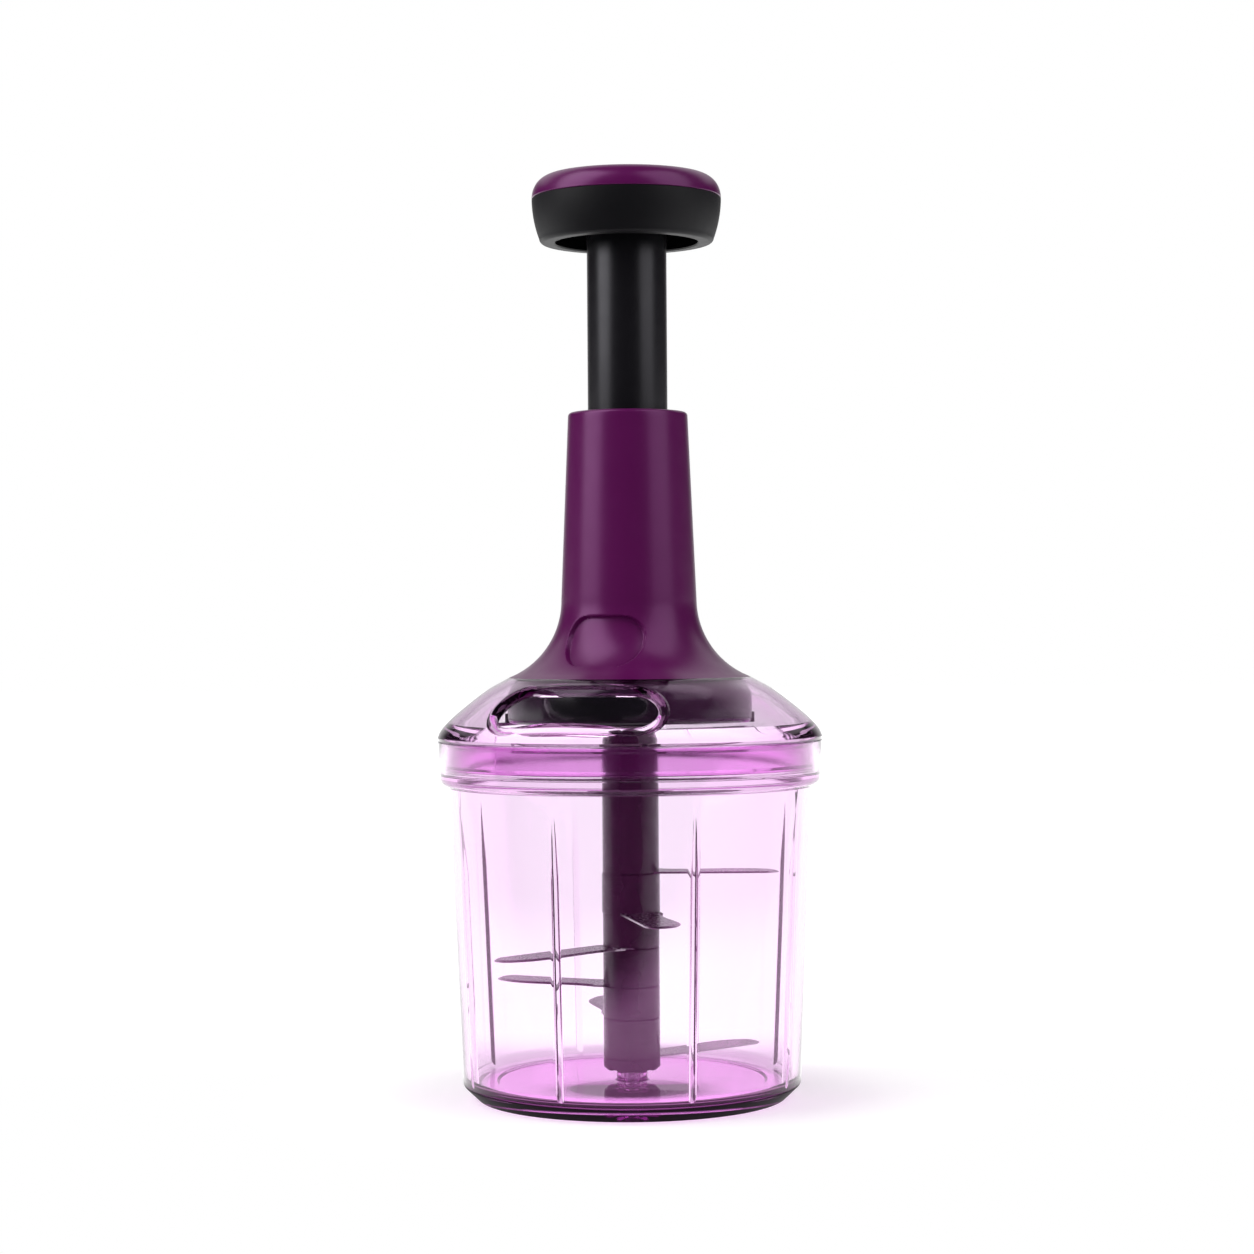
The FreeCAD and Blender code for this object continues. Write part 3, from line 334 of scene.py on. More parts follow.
def spin_round(steps, copies=False):
    """Spins what is selected once round the axis, as one skin or as copies side by side."""
    bpy.ops.mesh.spin(steps=steps, dupli=copies, angle=2 * math.pi, center=(0, 0, 0), axis=(0, 0, 1))


def begin(name):
    """Names the primitive that was just added and opens it in edit mode, all of it selected."""
    piece = bpy.context.object
    piece.name = name
    piece.data.name = name
    settle()
    edit()
    return piece


def modify(kind, **settings):
    """Puts a modifier on the active piece, sets it and applies it."""
    bpy.ops.object.modifier_add(type=kind)
    modifier = bpy.context.object.modifiers[-1]
    for name, value in settings.items():
        setattr(modifier, name, value)
    bpy.ops.object.modifier_apply(modifier=modifier.name)


def shade(piece, angle=SMOOTH_ANGLE):
    """Shades a piece smooth, with an edge wherever it turns by more than an angle."""
    pick_up(piece)
    bpy.ops.object.shade_smooth_by_angle(angle=angle)
    put_down()
    return piece


def close_up(piece, angle=SMOOTH_ANGLE):
    """Merges doubles, turns all faces outwards and shades the piece."""
    pick_up(piece)
    edit()
    bpy.ops.mesh.remove_doubles(threshold=MERGE)
    bpy.ops.mesh.normals_make_consistent(inside=False)
    leave_edit()
    return shade(piece, angle)


def lathe(name, outline, steps=160, shut=True):
    """Draws a section point by point and spins it. A section that ends on the axis isn't shut."""
    put_down()
    bpy.ops.mesh.primitive_plane_add(size=2 * MERGE)
    piece = begin(name)
    bpy.ops.mesh.merge(type="CENTER")
    path = [Vector((p[0], 0, p[1])) for p in outline]
    bpy.ops.transform.translate(value=path[0])
    if shut:
        path.append(path[0])
    for here, ahead in zip(path, path[1:]):
        extrude(ahead - here)
    bpy.ops.mesh.select_all(action="SELECT")
    bpy.ops.mesh.remove_doubles(threshold=MERGE)
    spin_round(steps)
    return close_up(piece)


def combine(piece, tool, operation):
    """Joins a tool to a piece, or cuts it out of the piece, and throws the tool away."""
    pick_up(piece)
    modify("BOOLEAN", operation=operation, solver="MANIFOLD", object=tool)
    bpy.data.objects.remove(tool)
    return shade(piece)


def hand_over(piece, body, node, slot, finish=None):
    """Gives a piece its finish and the body that it rides on, and hides the node that it stands for."""
    piece.data.materials.clear()
    piece.data.materials.append(finishes[finish or slot])
    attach(piece, body)
    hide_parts(node)


# ---- finishes ------------------------------------------------------------------------------------

def feed(tree, node, inputs):
    """Gives inputs of a node their number or colour, or links them to an output of another node."""
    for name, value in inputs.items():
        socket = node.inputs[name]
        if isinstance(value, bpy.types.NodeSocket):
            tree.links.new(value, socket)
        elif socket.type == "RGBA":
            socket.default_value = (*value, 1)
        else:
            socket.default_value = value


def add(tree, kind, output, inputs, **settings):
    """Adds a node, sets it, feeds its inputs and gives back one of its outputs."""
    node = tree.nodes.new(kind)
    for name, value in settings.items():
        setattr(node, name, value)
    feed(tree, node, inputs)
    return node.outputs[output]


def grain(tree, scale, detail, squeeze=(1, 1, 1)):
    """Noise on the piece's own coordinates, squeezed along X, Y and Z."""
    place = add(tree, "ShaderNodeTexCoord", "Object", {})
    mapped = add(tree, "ShaderNodeMapping", "Vector", {"Vector": place, "Scale": squeeze})
    return add(tree, "ShaderNodeTexNoise", "Fac", {"Vector": mapped, "Scale": scale, "Detail": detail})


def graded(tree, source, zone, low, high, way="SMOOTHSTEP"):
    """Goes from low to high while the source goes through a zone."""
    ends = {"From Min": zone[0], "From Max": zone[1], "To Min": low, "To Max": high}
    return add(tree, "ShaderNodeMapRange", "Result", {"Value": source, **ends}, interpolation_type=way)


def ranged(tree, noise, low, high):
    """A noise spread between two limits."""
    return graded(tree, noise, NOISE_ZONE, low, high, way="LINEAR")


def bumped(tree, noise, depth):
    """A normal that follows a noise as a relief of a depth in metres."""
    return add(tree, "ShaderNodeBump", "Normal", {"Height": noise, "Strength": 1.0, "Distance": depth})


def between(tree, share, low, high):
    """A colour between two others, by a share."""
    return add(tree, "ShaderNodeMix", "Result", {"Factor": share, "A": low, "B": high}, data_type="RGBA")


def varied(tree, noise, colour, spread):
    """A colour that is a little darker and lighter over the surface."""
    return between(tree, noise, [part * (1 - spread) for part in colour],
                   [min(1, part * (1 + spread)) for part in colour])


def mixed(tree, share, one, two):
    """One shader between two others, by a share."""
    return add(tree, "ShaderNodeMixShader", "Shader", {0: share, 1: one, 2: two})


def ray(tree, output):
    """What the light path says of the ray that arrives."""
    return add(tree, "ShaderNodeLightPath", output, {})


def new_finish(name):
    """An empty finish, with its node tree, its shader and its output."""
    finish = bpy.data.materials.new(name)
    finish.use_nodes = True
    tree = finish.node_tree
    return finish, tree, tree.nodes["Principled BSDF"], tree.nodes["Material Output"]


def clear_plastic(name, colour, absorption, roughness=0.015, surface=(0.985, 0.965, 0.99)):
    """Tinted clear moulding: flow waves, light handling marks, a colour that deepens with thickness."""
    finish, tree, shader, output = new_finish(name)
    gloss_tint = (1.0, 0.4, 0.92)
    shadow_tint = (0.90, 0.80, 0.91)
    wave_depth = 0.00004
    feed(tree, shader, {
        "Base Color": surface,
        "Specular Tint": gloss_tint,
        "Transmission Weight": 1.0,
        "IOR": PLASTIC_IOR,
        "Roughness": ranged(tree, grain(tree, scale=45.0, detail=5.0), roughness, roughness * 2.5),
        "Normal": bumped(tree, grain(tree, scale=28.0, detail=1.0), wave_depth),
    })
    shadow = add(tree, "ShaderNodeBsdfTransparent", "BSDF", {"Color": shadow_tint})
    depth = add(tree, "ShaderNodeVolumeAbsorption", "Volume", {"Color": colour, "Density": absorption})
    feed(tree, output, {
        "Surface": mixed(tree, ray(tree, "Is Shadow Ray"), shader.outputs["BSDF"], shadow),
        "Volume": depth,
    })
    return finish


def moulded_plastic(name, colour, roughness, texture=0.000003, specular=0.5, gloss=(1, 1, 1)):
    """Opaque moulding, its colour faintly clouded, with a fine texture whose depth is in metres."""
    finish, tree, shader, _ = new_finish(name)
    play = 0.02                                   # the roughness goes this far up and down
    feed(tree, shader, {
        "IOR": PLASTIC_IOR,
        "Specular IOR Level": specular,
        "Specular Tint": gloss,
        "Base Color": varied(tree, grain(tree, scale=60.0, detail=4.0), colour, spread=0.06),
        "Roughness": ranged(tree, grain(tree, scale=220.0, detail=2.0), roughness - play,
                            roughness + play),
        "Normal": bumped(tree, grain(tree, scale=1500.0, detail=0.0), texture),
    })
    return finish


def brushed_steel(name, colour, roughness, squeeze):
    """Bare metal with fine lines from grinding, which run across the axis that is squeezed most."""
    finish, tree, shader, _ = new_finish(name)
    lines = grain(tree, scale=900.0, detail=4.0, squeeze=squeeze)
    line_depth = 0.000004
    smoother, rougher = 0.07, 0.08                # the roughness goes this far down and up
    feed(tree, shader, {
        "Metallic": 1.0,
        "Base Color": varied(tree, grain(tree, scale=120.0, detail=3.0), colour, spread=0.08),
        "Roughness": ranged(tree, lines, roughness - smoother, roughness + rougher),
        "Normal": bumped(tree, lines, line_depth),
    })
    return finish


class MakeFinishes(Operator):
    """Makes every finish and gives the CAD nodes theirs"""
    bl_idname = "chopper.make_finishes"
    bl_label = "Finishes"

    def execute(self, context):
        tints = context.scene.chopper_finishes
        finishes.update({
            "clear_bowl": clear_plastic("clear_bowl_plastic", tints.clear, tints.absorption),
            "clear_lid": clear_plastic("clear_lid_plastic", tints.clear, tints.absorption),
            "silicone": clear_plastic("seal_silicone", tints.gasket, tints.gasket_absorption,
                                      roughness=0.06, surface=(0.93, 0.62, 0.92)),
            "purple_housing": moulded_plastic("purple_satin_plastic", tints.purple, roughness=0.30,
                                              specular=0.55, gloss=(1.0, 0.5, 1.0)),
            "black_plastic": moulded_plastic("black_satin_plastic", tints.black, roughness=0.31,
                                             texture=0.000001, gloss=(0.94, 0.92, 1.0)),
            "black_matt": moulded_plastic("black_matt_plastic", tints.black, roughness=0.50,
                                          specular=0.2),
            "black_gloss": moulded_plastic("black_gloss_plastic", tints.black, roughness=0.16,
                                           texture=0.000004),
            "column_plastic": moulded_plastic("column_plastic", tints.column, roughness=0.20,
                                              texture=0.000004),
            "acetal": moulded_plastic("bearing_plastic", tints.acetal, roughness=0.42),
            "blade_steel": brushed_steel("blade_steel", (0.36, 0.35, 0.36), roughness=0.24,
                                         squeeze=(1, 1, 30)),
            "steel": brushed_steel("turned_steel", (0.52, 0.52, 0.53), roughness=0.28,
                                   squeeze=(1, 1, 12)),
            "spring_steel": brushed_steel("spring_wire", (0.40, 0.40, 0.42), roughness=0.30,
                                          squeeze=(4, 4, 1)),
        })
        for part in frame["record"]["subparts"]:
            node = frame["nodes"][part["node"]]
            node.data.materials.clear()
            node.data.materials.append(finishes[part["material_slot"]])
        return {"FINISHED"}


# ---- bowl ----------------------------------------------------------------------------------------

def bowl_ribs(sizes, wall_in):
    """Round-backed ribs on the inner wall, each dying into it towards the top."""
    foot = sizes.floor - sizes.disc_depth
    bend = sizes.rib_top - sizes.rib_taper
    half = sizes.rib_width / 2
    sunk = sizes.wall / 15                        # how far each rib is set into the wall
    tip_depth, tip_width = 0.35, 0.45             # the tip's size, as shares of the rib's own
    tip_rise = 0.12                               # how far the tip goes on, as a share of the taper
    low = Vector((wall_in(foot), 0, foot))
    middle = Vector((wall_in(bend), 0, bend))
    tip = Vector((wall_in(sizes.rib_top) + sizes.rib_depth * tip_depth, 0,
                  sizes.rib_top + sizes.rib_taper * tip_rise))
    put_down()
    bpy.ops.mesh.primitive_circle_add(vertices=20, radius=half, fill_type="NGON", location=low)
    ribs = begin("ribs")
    bpy.ops.transform.resize(value=(sizes.rib_depth / half, 1, 1), center_override=low)
    extrude(middle - low)
    extrude(tip - middle)
    bpy.ops.transform.resize(value=(tip_depth, tip_width, 1), center_override=tip)
    bpy.ops.mesh.select_all(action="SELECT")
    bpy.ops.transform.translate(value=(sunk, 0, 0))
    turn = -math.pi / sizes.ribs - sizes.rib_turn
    bpy.ops.transform.rotate(value=turn, orient_axis="Z", center_override=(0, 0, 0))
    spin_round(sizes.ribs, copies=True)
    return close_up(ribs)


class ModelBowl(Operator):
    """Models the clear bowl with its ribs, thick floor and collar"""
    bl_idname = "chopper.model_bowl"
    bl_label = "Bowl"

    def execute(self, context):
        sizes = context.scene.chopper_bowl
        rim_r = BOWL_BOX[1][0]
        rim_z = BOWL_BOX[1][2]
        collar_z = rim_z - sizes.collar_height
        wall_r = rim_r - sizes.collar_step
        rim_in = rim_r - sizes.wall
        rim_round, rim_in_round = 0.0006, 0.0004
        ledge_z = rim_z - sizes.ledge_depth
        disc_z = sizes.floor - sizes.disc_depth
        boss_z = sizes.floor + sizes.boss_height
        pin_z = boss_z - sizes.pin_sunk

        def wall_out(z):
            return sizes.heel_radius + (wall_r - sizes.heel_radius) * z / collar_z

        def wall_in(z):
            return wall_out(z) - sizes.wall

        outline = rounded([
            (0, 0),
            (sizes.heel_radius - sizes.heel_cut, 0, sizes.heel_round),
            (wall_out(sizes.heel_cut), sizes.heel_cut, sizes.heel_round),
            (wall_r, collar_z, FULL),
            (rim_r - sizes.collar_flare, collar_z + sizes.collar_flare / 2, sizes.collar_round),
            (rim_r, rim_z, rim_round),
            (rim_in, rim_z, rim_in_round),
            (rim_in, ledge_z, CRISP),
            (wall_r - sizes.wall, ledge_z - sizes.ledge_slope, CRISP),
            (wall_in(sizes.floor), sizes.floor, sizes.floor_round),
            (sizes.disc_radius, sizes.floor, SOFT),
            (sizes.disc_radius - sizes.disc_depth, disc_z, SOFT),
            (sizes.boss_radius, disc_z, FULL),
            (sizes.boss_radius, boss_z, SOFT),
            (sizes.pin_radius, boss_z),
            (sizes.pin_radius, pin_z),
            (0, pin_z),
        ])
        bowl = lathe("clear_bowl_shell", outline, shut=False)
        bowl = combine(bowl, bowl_ribs(sizes, wall_in), "UNION")
        hand_over(bowl, "bowl", "bowl", "clear_bowl")
        return {"FINISHED"}


# ---- lid -----------------------------------------------------------------------------------------

# Points of the dome between rim and deck, each as a share of its run inwards and of its rise.
DOME_SHAPE = ((0.055, 0.135), (0.21, 0.335), (0.48, 0.605), (0.71, 0.808))


def offset_line(points, distance):
    """An open line moved sideways, to the left of its direction."""
    moved = []
    for i, here in enumerate(points):
        along = (points[min(i + 1, len(points) - 1)] - points[max(i - 1, 0)]).normalized()
        moved.append(here + Vector((-along.y, along.x)) * distance)
    return moved


def aim(azimuth, tilt, foot):
    """Placement whose Z axis looks out along azimuth and tilt, with its X axis level."""
    return (Matrix.Translation(foot) @ Matrix.Rotation(azimuth + QUARTER_TURN, 4, "Z")
            @ Matrix.Rotation(QUARTER_TURN - tilt, 4, "X"))


def stadium(name, half_length, half_width, fill):
    """Flat rounded slot round the origin, long along X, left in edit mode with all of it selected."""
    put_down()
    bpy.ops.mesh.primitive_circle_add(vertices=96, radius=half_width, fill_type=fill)
    slot = begin(name)
    leave_edit()
    right = [v.co.x > -MERGE for v in slot.data.vertices]
    for side, shift in ((True, half_length - half_width), (False, half_width - half_length)):
        edit("DESELECT")
        leave_edit()
        for vertex, on_right in zip(slot.data.vertices, right):
            vertex.select = on_right == side
        bpy.ops.object.mode_set(mode="EDIT")
        bpy.ops.transform.translate(value=(shift, 0, 0))
    bpy.ops.mesh.select_all(action="SELECT")
    return slot


def opening_bead(lid, sizes, place):
    """Round bead that follows the dome along the edge of the opening."""
    outside = sizes.bead * 0.6                    # from the opening's edge to the middle of the bead
    path = stadium("opening_bead", sizes.opening_length + outside, sizes.opening_width + outside,
                   fill="NOTHING")
    leave_edit()
    path.matrix_world = place
    modify("SHRINKWRAP", target=lid, wrap_method="PROJECT", use_project_z=True,
           use_negative_direction=True, use_positive_direction=False, offset=-sizes.wall / 2)
    settle()
    bpy.ops.object.convert(target="CURVE")
    path.data.bevel_depth = sizes.bead
    path.data.bevel_resolution = 6
    bpy.ops.object.convert(target="MESH")
    return close_up(bpy.context.object)


class ModelLid(Operator):
    """Models the clear domed lid with its skirt and beaded oval opening"""
    bl_idname = "chopper.model_lid"
    bl_label = "Lid"

    def execute(self, context):
        sizes = context.scene.chopper_lid
        bowl = context.scene.chopper_bowl
        foot_r = context.scene.chopper_neck.foot_radius
        rim_r = BOWL_BOX[1][0]
        rim_z = BOWL_BOX[1][2]
        low_z = rim_z + sizes.edge
        deck_z = NECK_BOX[0][2]
        deck_low = deck_z - sizes.deck
        skirt_r = rim_r - bowl.wall - sizes.skirt_play
        inner_r = skirt_r - sizes.skirt_wall
        skirt_low = rim_z - sizes.skirt_length
        groove_r = skirt_r - sizes.groove_depth
        groove_low = skirt_low + sizes.groove_rise
        groove_top = groove_low + sizes.groove_height

        run = rim_r - foot_r
        rise = deck_z - low_z
        knots = [(rim_r - run * along, low_z + rise * up) for along, up in ((0, 0), *DOME_SHAPE, (1, 1))]
        dome = [Vector(knots[0])] + flowing(knots, steps=6)
        clear = 0.001                             # the dome's inside ends this far from its corners
        under = [p for p in offset_line(dome, sizes.wall)
                 if foot_r - sizes.wall + clear < p.x < inner_r - clear]
        outline = rounded([
            (inner_r, skirt_low, CRISP),
            (skirt_r, skirt_low, SOFT),
            (skirt_r, groove_low),
            (groove_r, groove_low),
            (groove_r, groove_top),
            (skirt_r, groove_top),
            (skirt_r, rim_z),
            (rim_r, rim_z, SOFT),
        ]) + dome + rounded([
            dome[-1],
            (sizes.bore_radius, deck_z),
            (sizes.bore_radius, deck_low),
            (foot_r - sizes.wall, deck_low),
        ])[1:] + under[::-1] + [Vector((inner_r, low_z + sizes.wall + sizes.haunch))]
        lid = lathe("clear_lid_shell", outline)

        azimuth = sizes.opening_azimuth
        tilt = sizes.opening_tilt
        outward = Vector((math.cos(tilt) * math.cos(azimuth), math.cos(tilt) * math.sin(azimuth),
                          math.sin(tilt)))
        middle_r = rim_r - run * sizes.opening_place
        middle = Vector((middle_r * math.cos(azimuth), middle_r * math.sin(azimuth),
                         low_z + rise * sizes.opening_place))
        far_out = rise * 2                        # well outside the dome, and the length of the cutter
        far_in = rise * 0.75                      # where the cutter starts, inside the dome
        bead = opening_bead(lid, sizes, aim(azimuth, tilt, middle + outward * far_out))
        hole = stadium("opening", sizes.opening_length, sizes.opening_width, fill="NGON")
        extrude((0, 0, far_out))
        leave_edit()
        hole.matrix_world = aim(azimuth, tilt, middle - outward * far_in)
        settle()
        close_up(hole)
        lid = combine(lid, hole, "DIFFERENCE")
        lid = combine(lid, bead, "UNION")
        hand_over(lid, "lid_unit", "lid", "clear_lid")
        return {"FINISHED"}


# ---- neck ----------------------------------------------------------------------------------------

def neck_line(sizes):
    """Radius of the neck's outer form at a height, and the height where the flare ends."""
    foot_z = NECK_BOX[0][2]
    top_z = NECK_BOX[1][2]
    centre_r = sizes.waist_radius + sizes.flare
    waist_z = foot_z + math.sqrt(sizes.flare ** 2 - (centre_r - sizes.foot_radius) ** 2)

    def radius(z):
        if z < waist_z:
            return centre_r - math.sqrt(sizes.flare ** 2 - (waist_z - z) ** 2)
        share = (z - waist_z) / (top_z - waist_z)
        return sizes.waist_radius + (sizes.top_radius - sizes.waist_radius) * share

    return radius, waist_z


def sink_panel(neck, sizes, radius):
    """Divides the faces about the panel finely and sinks those inside its outline."""
    centre_z = NECK_BOX[0][2] + sizes.panel_rise
    out = Vector((math.cos(sizes.panel_azimuth), math.sin(sizes.panel_azimuth), 0))
    side = Vector((-out.y, out.x, 0))
    half_w = sizes.panel_width / 2
    half_h = sizes.panel_height / 2
    margin = 0.0025                               # how far the finely divided faces go past the panel
    skin = 0.0004                                 # points nearer to the outer form than this lie on it
    step = 1e-4                                   # rise over which the form's slope is taken

    def on_surface(co):
        return abs(math.hypot(co.x, co.y) - radius(co.z)) < skin and co.dot(out) > 0

    def near_panel(co):
        return abs(co.dot(side)) < half_w + margin and abs(co.z - centre_z) < half_h + margin

    pick_up(neck)
    edit("DESELECT")
    bpy.ops.mesh.select_mode(type="FACE")
    leave_edit()
    for face in neck.data.polygons:
        face.select = near_panel(face.center) and on_surface(face.center)
    bpy.ops.object.mode_set(mode="EDIT")
    bpy.ops.mesh.subdivide(number_cuts=3)
    bpy.ops.mesh.select_mode(type="VERT")
    leave_edit()
    for vertex in neck.data.vertices:
        co = vertex.co
        if not (vertex.select and on_surface(co)):
            continue
        across = max(abs(co.dot(side)) - half_w + sizes.panel_round, 0)
        up = max(abs(co.z - centre_z) - half_h + sizes.panel_round, 0)
        inside = sizes.panel_round - math.hypot(across, up)
        share = min(max(inside / sizes.panel_edge, 0), 1)
        depth = sizes.panel_depth * share * share * (3 - 2 * share)     # eased at both ends of the slope
        slope = (radius(co.z + step) - radius(co.z - step)) / (2 * step)
        length = math.sqrt(1 + slope ** 2)
        around = Vector((co.x, co.y, 0)).normalized()
        surface = around * radius(co.z) + Vector((0, 0, co.z))
        vertex.co = surface - (around - Vector((0, 0, slope))) * depth / length
    neck.data.update()
    return close_up(neck, ROUND_ANGLE)


class ModelNeck(Operator):
    """Models the purple neck with its flared foot and sunk panel"""
    bl_idname = "chopper.model_neck"
    bl_label = "Neck"

    def execute(self, context):
        sizes = context.scene.chopper_neck
        radius, waist_z = neck_line(sizes)
        foot_z = NECK_BOX[0][2]
        top_z = NECK_BOX[1][2]
        land_z = top_z - sizes.land
        flare = sizes.flare + sizes.wall
        centre_r = sizes.waist_radius + sizes.flare

        def inner(z):
            if z < waist_z:
                return centre_r - math.sqrt(flare ** 2 - (waist_z - z) ** 2)
            return radius(z) - sizes.wall

        rings, inner_rings = 71, 24
        below = 0.0012                            # this far down, a point gives the slope of the wall
        apart = 0.0003                            # the outer rings end this far below the rounding
        lip_r = sizes.bush_radius + sizes.lip
        lip_z = top_z - sizes.lip
        heights = [foot_z + (top_z - foot_z) * i / rings for i in range(rings)]
        crown = rounded([(radius(top_z - below), top_z - below), (radius(top_z), top_z, sizes.top_round),
                         (lip_r, top_z)])[1:-1]
        outer = [Vector((radius(z), z)) for z in heights if z < crown[0].y - apart]
        bore = rounded([(lip_r, top_z), (lip_r, lip_z), (sizes.bush_radius, lip_z),
                        (sizes.bush_radius, land_z)])
        heights = [land_z - (land_z - foot_z) * i / inner_rings for i in range(inner_rings + 1)]
        down = [Vector((inner(z), z)) for z in heights]
        neck = lathe("purple_neck", outer + crown + bore + down, steps=176)
        neck = sink_panel(neck, sizes, radius)
        hand_over(neck, "lid_unit", "neck_housing", "purple_housing")
        return {"FINISHED"}


# ---- plunger -------------------------------------------------------------------------------------

class ModelTube(Operator):
    """Models the black plunger tube"""
    bl_idname = "chopper.model_tube"
    bl_label = "Plunger tube"

    def execute(self, context):
        radius = TUBE_BOX[1][0]
        low = TUBE_BOX[0][2]
        top = TUBE_BOX[1][2]
        wall = 0.00175
        cap = 0.003                               # thickness of the tube's closed top
        cap_round = 0.001
        screw_r = 0.002
        outline = rounded([
            (radius - wall, low),
            (radius, low, CRISP),
            (radius, top, CRISP),
            (screw_r, top),
            (screw_r, top - cap),
            (radius - wall, top - cap, cap_round),
        ])
        tube = lathe("plunger_tube_shell", outline, steps=128)
        hand_over(tube, "plunger", "plunger_tube", "black_plastic")
        return {"FINISHED"}


class ModelKnob(Operator):
    """Models the black lower shell of the knob"""
    bl_idname = "chopper.model_knob"
    bl_label = "Knob shell"

    def execute(self, context):
        sizes = context.scene.chopper_knob
        tube_r = TUBE_BOX[1][0]
        low = KNOB_BOX[0][2]
        seam = CAP_BOX[0][2]
        lip_top = KNOB_BOX[1][2]
        deck = seam - sizes.deck
        boss_low = deck - sizes.boss_length
        seam_in = sizes.seam_radius - sizes.wall
        seam_low = seam - sizes.seam_gap
        lip_r = seam_in - 0.00005                 # the lip that the cap sits on, with its play
        lip_in = lip_r - 0.0016
        screw_r = 0.0022
        heel_width, heel_height = 0.0016, 0.0014  # rounding from the lower rim to the flank
        heel_in, heel_up = 0.0005, 0.0004         # where its arc passes
        belly_r = (sizes.rim_radius + sizes.seam_radius) / 2 + 0.00055
        belly_z = low + (seam - low) * 0.53
        mouth_cut = 0.0004                        # small slope at the inner edge of the lower rim
        throat_r, throat_z = sizes.mouth_radius + 0.0020, low + 0.0040
        deck_r = seam_in - 0.0014
        boss_round, deck_round, throat_round = 0.0006, 0.0020, 0.0015
        heel = [Vector((sizes.rim_radius - heel_width, low))]
        heel += arc(heel[0], (sizes.rim_radius - heel_in, low + heel_up),
                    (sizes.rim_radius, low + heel_height), steps=8)
        flank = arc(heel[-1], (belly_r, belly_z), (sizes.seam_radius, seam_low), steps=16)
        outline = [Vector((sizes.mouth_radius + mouth_cut, low))] + heel + flank + rounded([
            (sizes.seam_radius, seam_low),
            (sizes.seam_radius - sizes.seam_gap, seam),
            (lip_r, seam),
            (lip_r, lip_top),
            (lip_in, lip_top),
            (lip_in, seam),
            (screw_r, seam),
            (screw_r, deck),
            (tube_r, deck),
            (tube_r, boss_low),
            (sizes.boss_radius, boss_low, boss_round),
            (sizes.boss_radius, deck, FULL),
            (deck_r, deck, deck_round),
            (throat_r, throat_z, throat_round),
            (sizes.mouth_radius, low + mouth_cut),
        ])[1:]
        knob = lathe("knob_shell", outline)
        hand_over(knob, "plunger", "knob_body", "black_plastic", finish="black_matt")
        return {"FINISHED"}


class ModelCap(Operator):
    """Models the purple crowned cap of the knob"""
    bl_idname = "chopper.model_cap"
    bl_label = "Knob cap"

    def execute(self, context):
        sizes = context.scene.chopper_knob
        seam = CAP_BOX[0][2]
        top = CAP_BOX[1][2]
        height = top - seam
        ball = (sizes.shoulder_radius ** 2 + sizes.shoulder_drop ** 2) / (2 * sizes.shoulder_drop)

        def crown(radius):
            return top - ball + math.sqrt(ball ** 2 - radius ** 2)

        rings = 18
        shoulder_r = sizes.shoulder_radius
        shoulder_z = crown(shoulder_r)
        side_z = seam + height * 0.38             # where the side's two arcs meet
        inner_r = shoulder_r - 0.001              # where the inside turns down
        inner_z = side_z - 0.001
        inside = sizes.seam_radius - sizes.wall
        foot = Vector((sizes.seam_radius, seam + sizes.seam_gap))
        low_side = (sizes.seam_radius - 0.0002, seam + height * 0.2)
        side = (sizes.seam_radius - 0.00075, side_z)
        high_side = (sizes.seam_radius - 0.0022, shoulder_z - 0.0015)
        inner = [Vector((inner_r * i / rings, crown(inner_r * i / rings) - sizes.wall))
                 for i in range(rings + 1)]
        foot_in = [Vector((inside, inner_z)), Vector((inside, seam)),
                   Vector((sizes.seam_radius - sizes.seam_gap, seam))]
        flank = [foot] + arc(foot, low_side, side, steps=6)
        flank += arc(side, high_side, (shoulder_r, shoulder_z), steps=10)
        outer = [Vector((shoulder_r * (1 - i / rings), crown(shoulder_r * (1 - i / rings))))
                 for i in range(1, rings + 1)]
        cap = lathe("knob_cap_shell", inner + foot_in + flank + outer, shut=False)
        hand_over(cap, "plunger", "knob_cap", "purple_housing")
        return {"FINISHED"}


# ---- drive ---------------------------------------------------------------------------------------

class ModelDrum(Operator):
    """Models the black drum that holds the drive under the lid"""
    bl_idname = "chopper.model_drum"
    bl_label = "Drive drum"

    def execute(self, context):
        sizes = context.scene.chopper_drive
        low = DRUM_BOX[0][2]
        top = DRUM_BOX[1][2]
        inner_r = sizes.radius - sizes.wall
        drum = lathe("drive_drum", rounded([
            (inner_r, low),
            (sizes.radius, low, sizes.low_round),
            (sizes.radius, top, sizes.top_round),
            (sizes.seat_radius, top, CRISP),
            (sizes.seat_radius, top - sizes.deck, CRISP),
            (inner_r, top - sizes.deck),
        ]))
        lug_sunk = 0.0006                         # how far a lug goes into the drum's wall
        lug_lift = 0.0001                         # and how far it stays above the lower edge
        lug_r = DRUM_BOX[1][0] - sizes.radius + lug_sunk
        put_down()
        bpy.ops.mesh.primitive_cylinder_add(vertices=32, radius=lug_r, depth=lug_r * 2,
                                            location=(DRUM_BOX[1][0] - lug_r, 0, low + lug_r + lug_lift))
        lugs = begin("lugs")
        spin_round(steps=2, copies=True)
        drum = combine(drum, close_up(lugs), "UNION")
        hand_over(drum, "lid_unit", "drive_housing", "black_gloss")
        return {"FINISHED"}


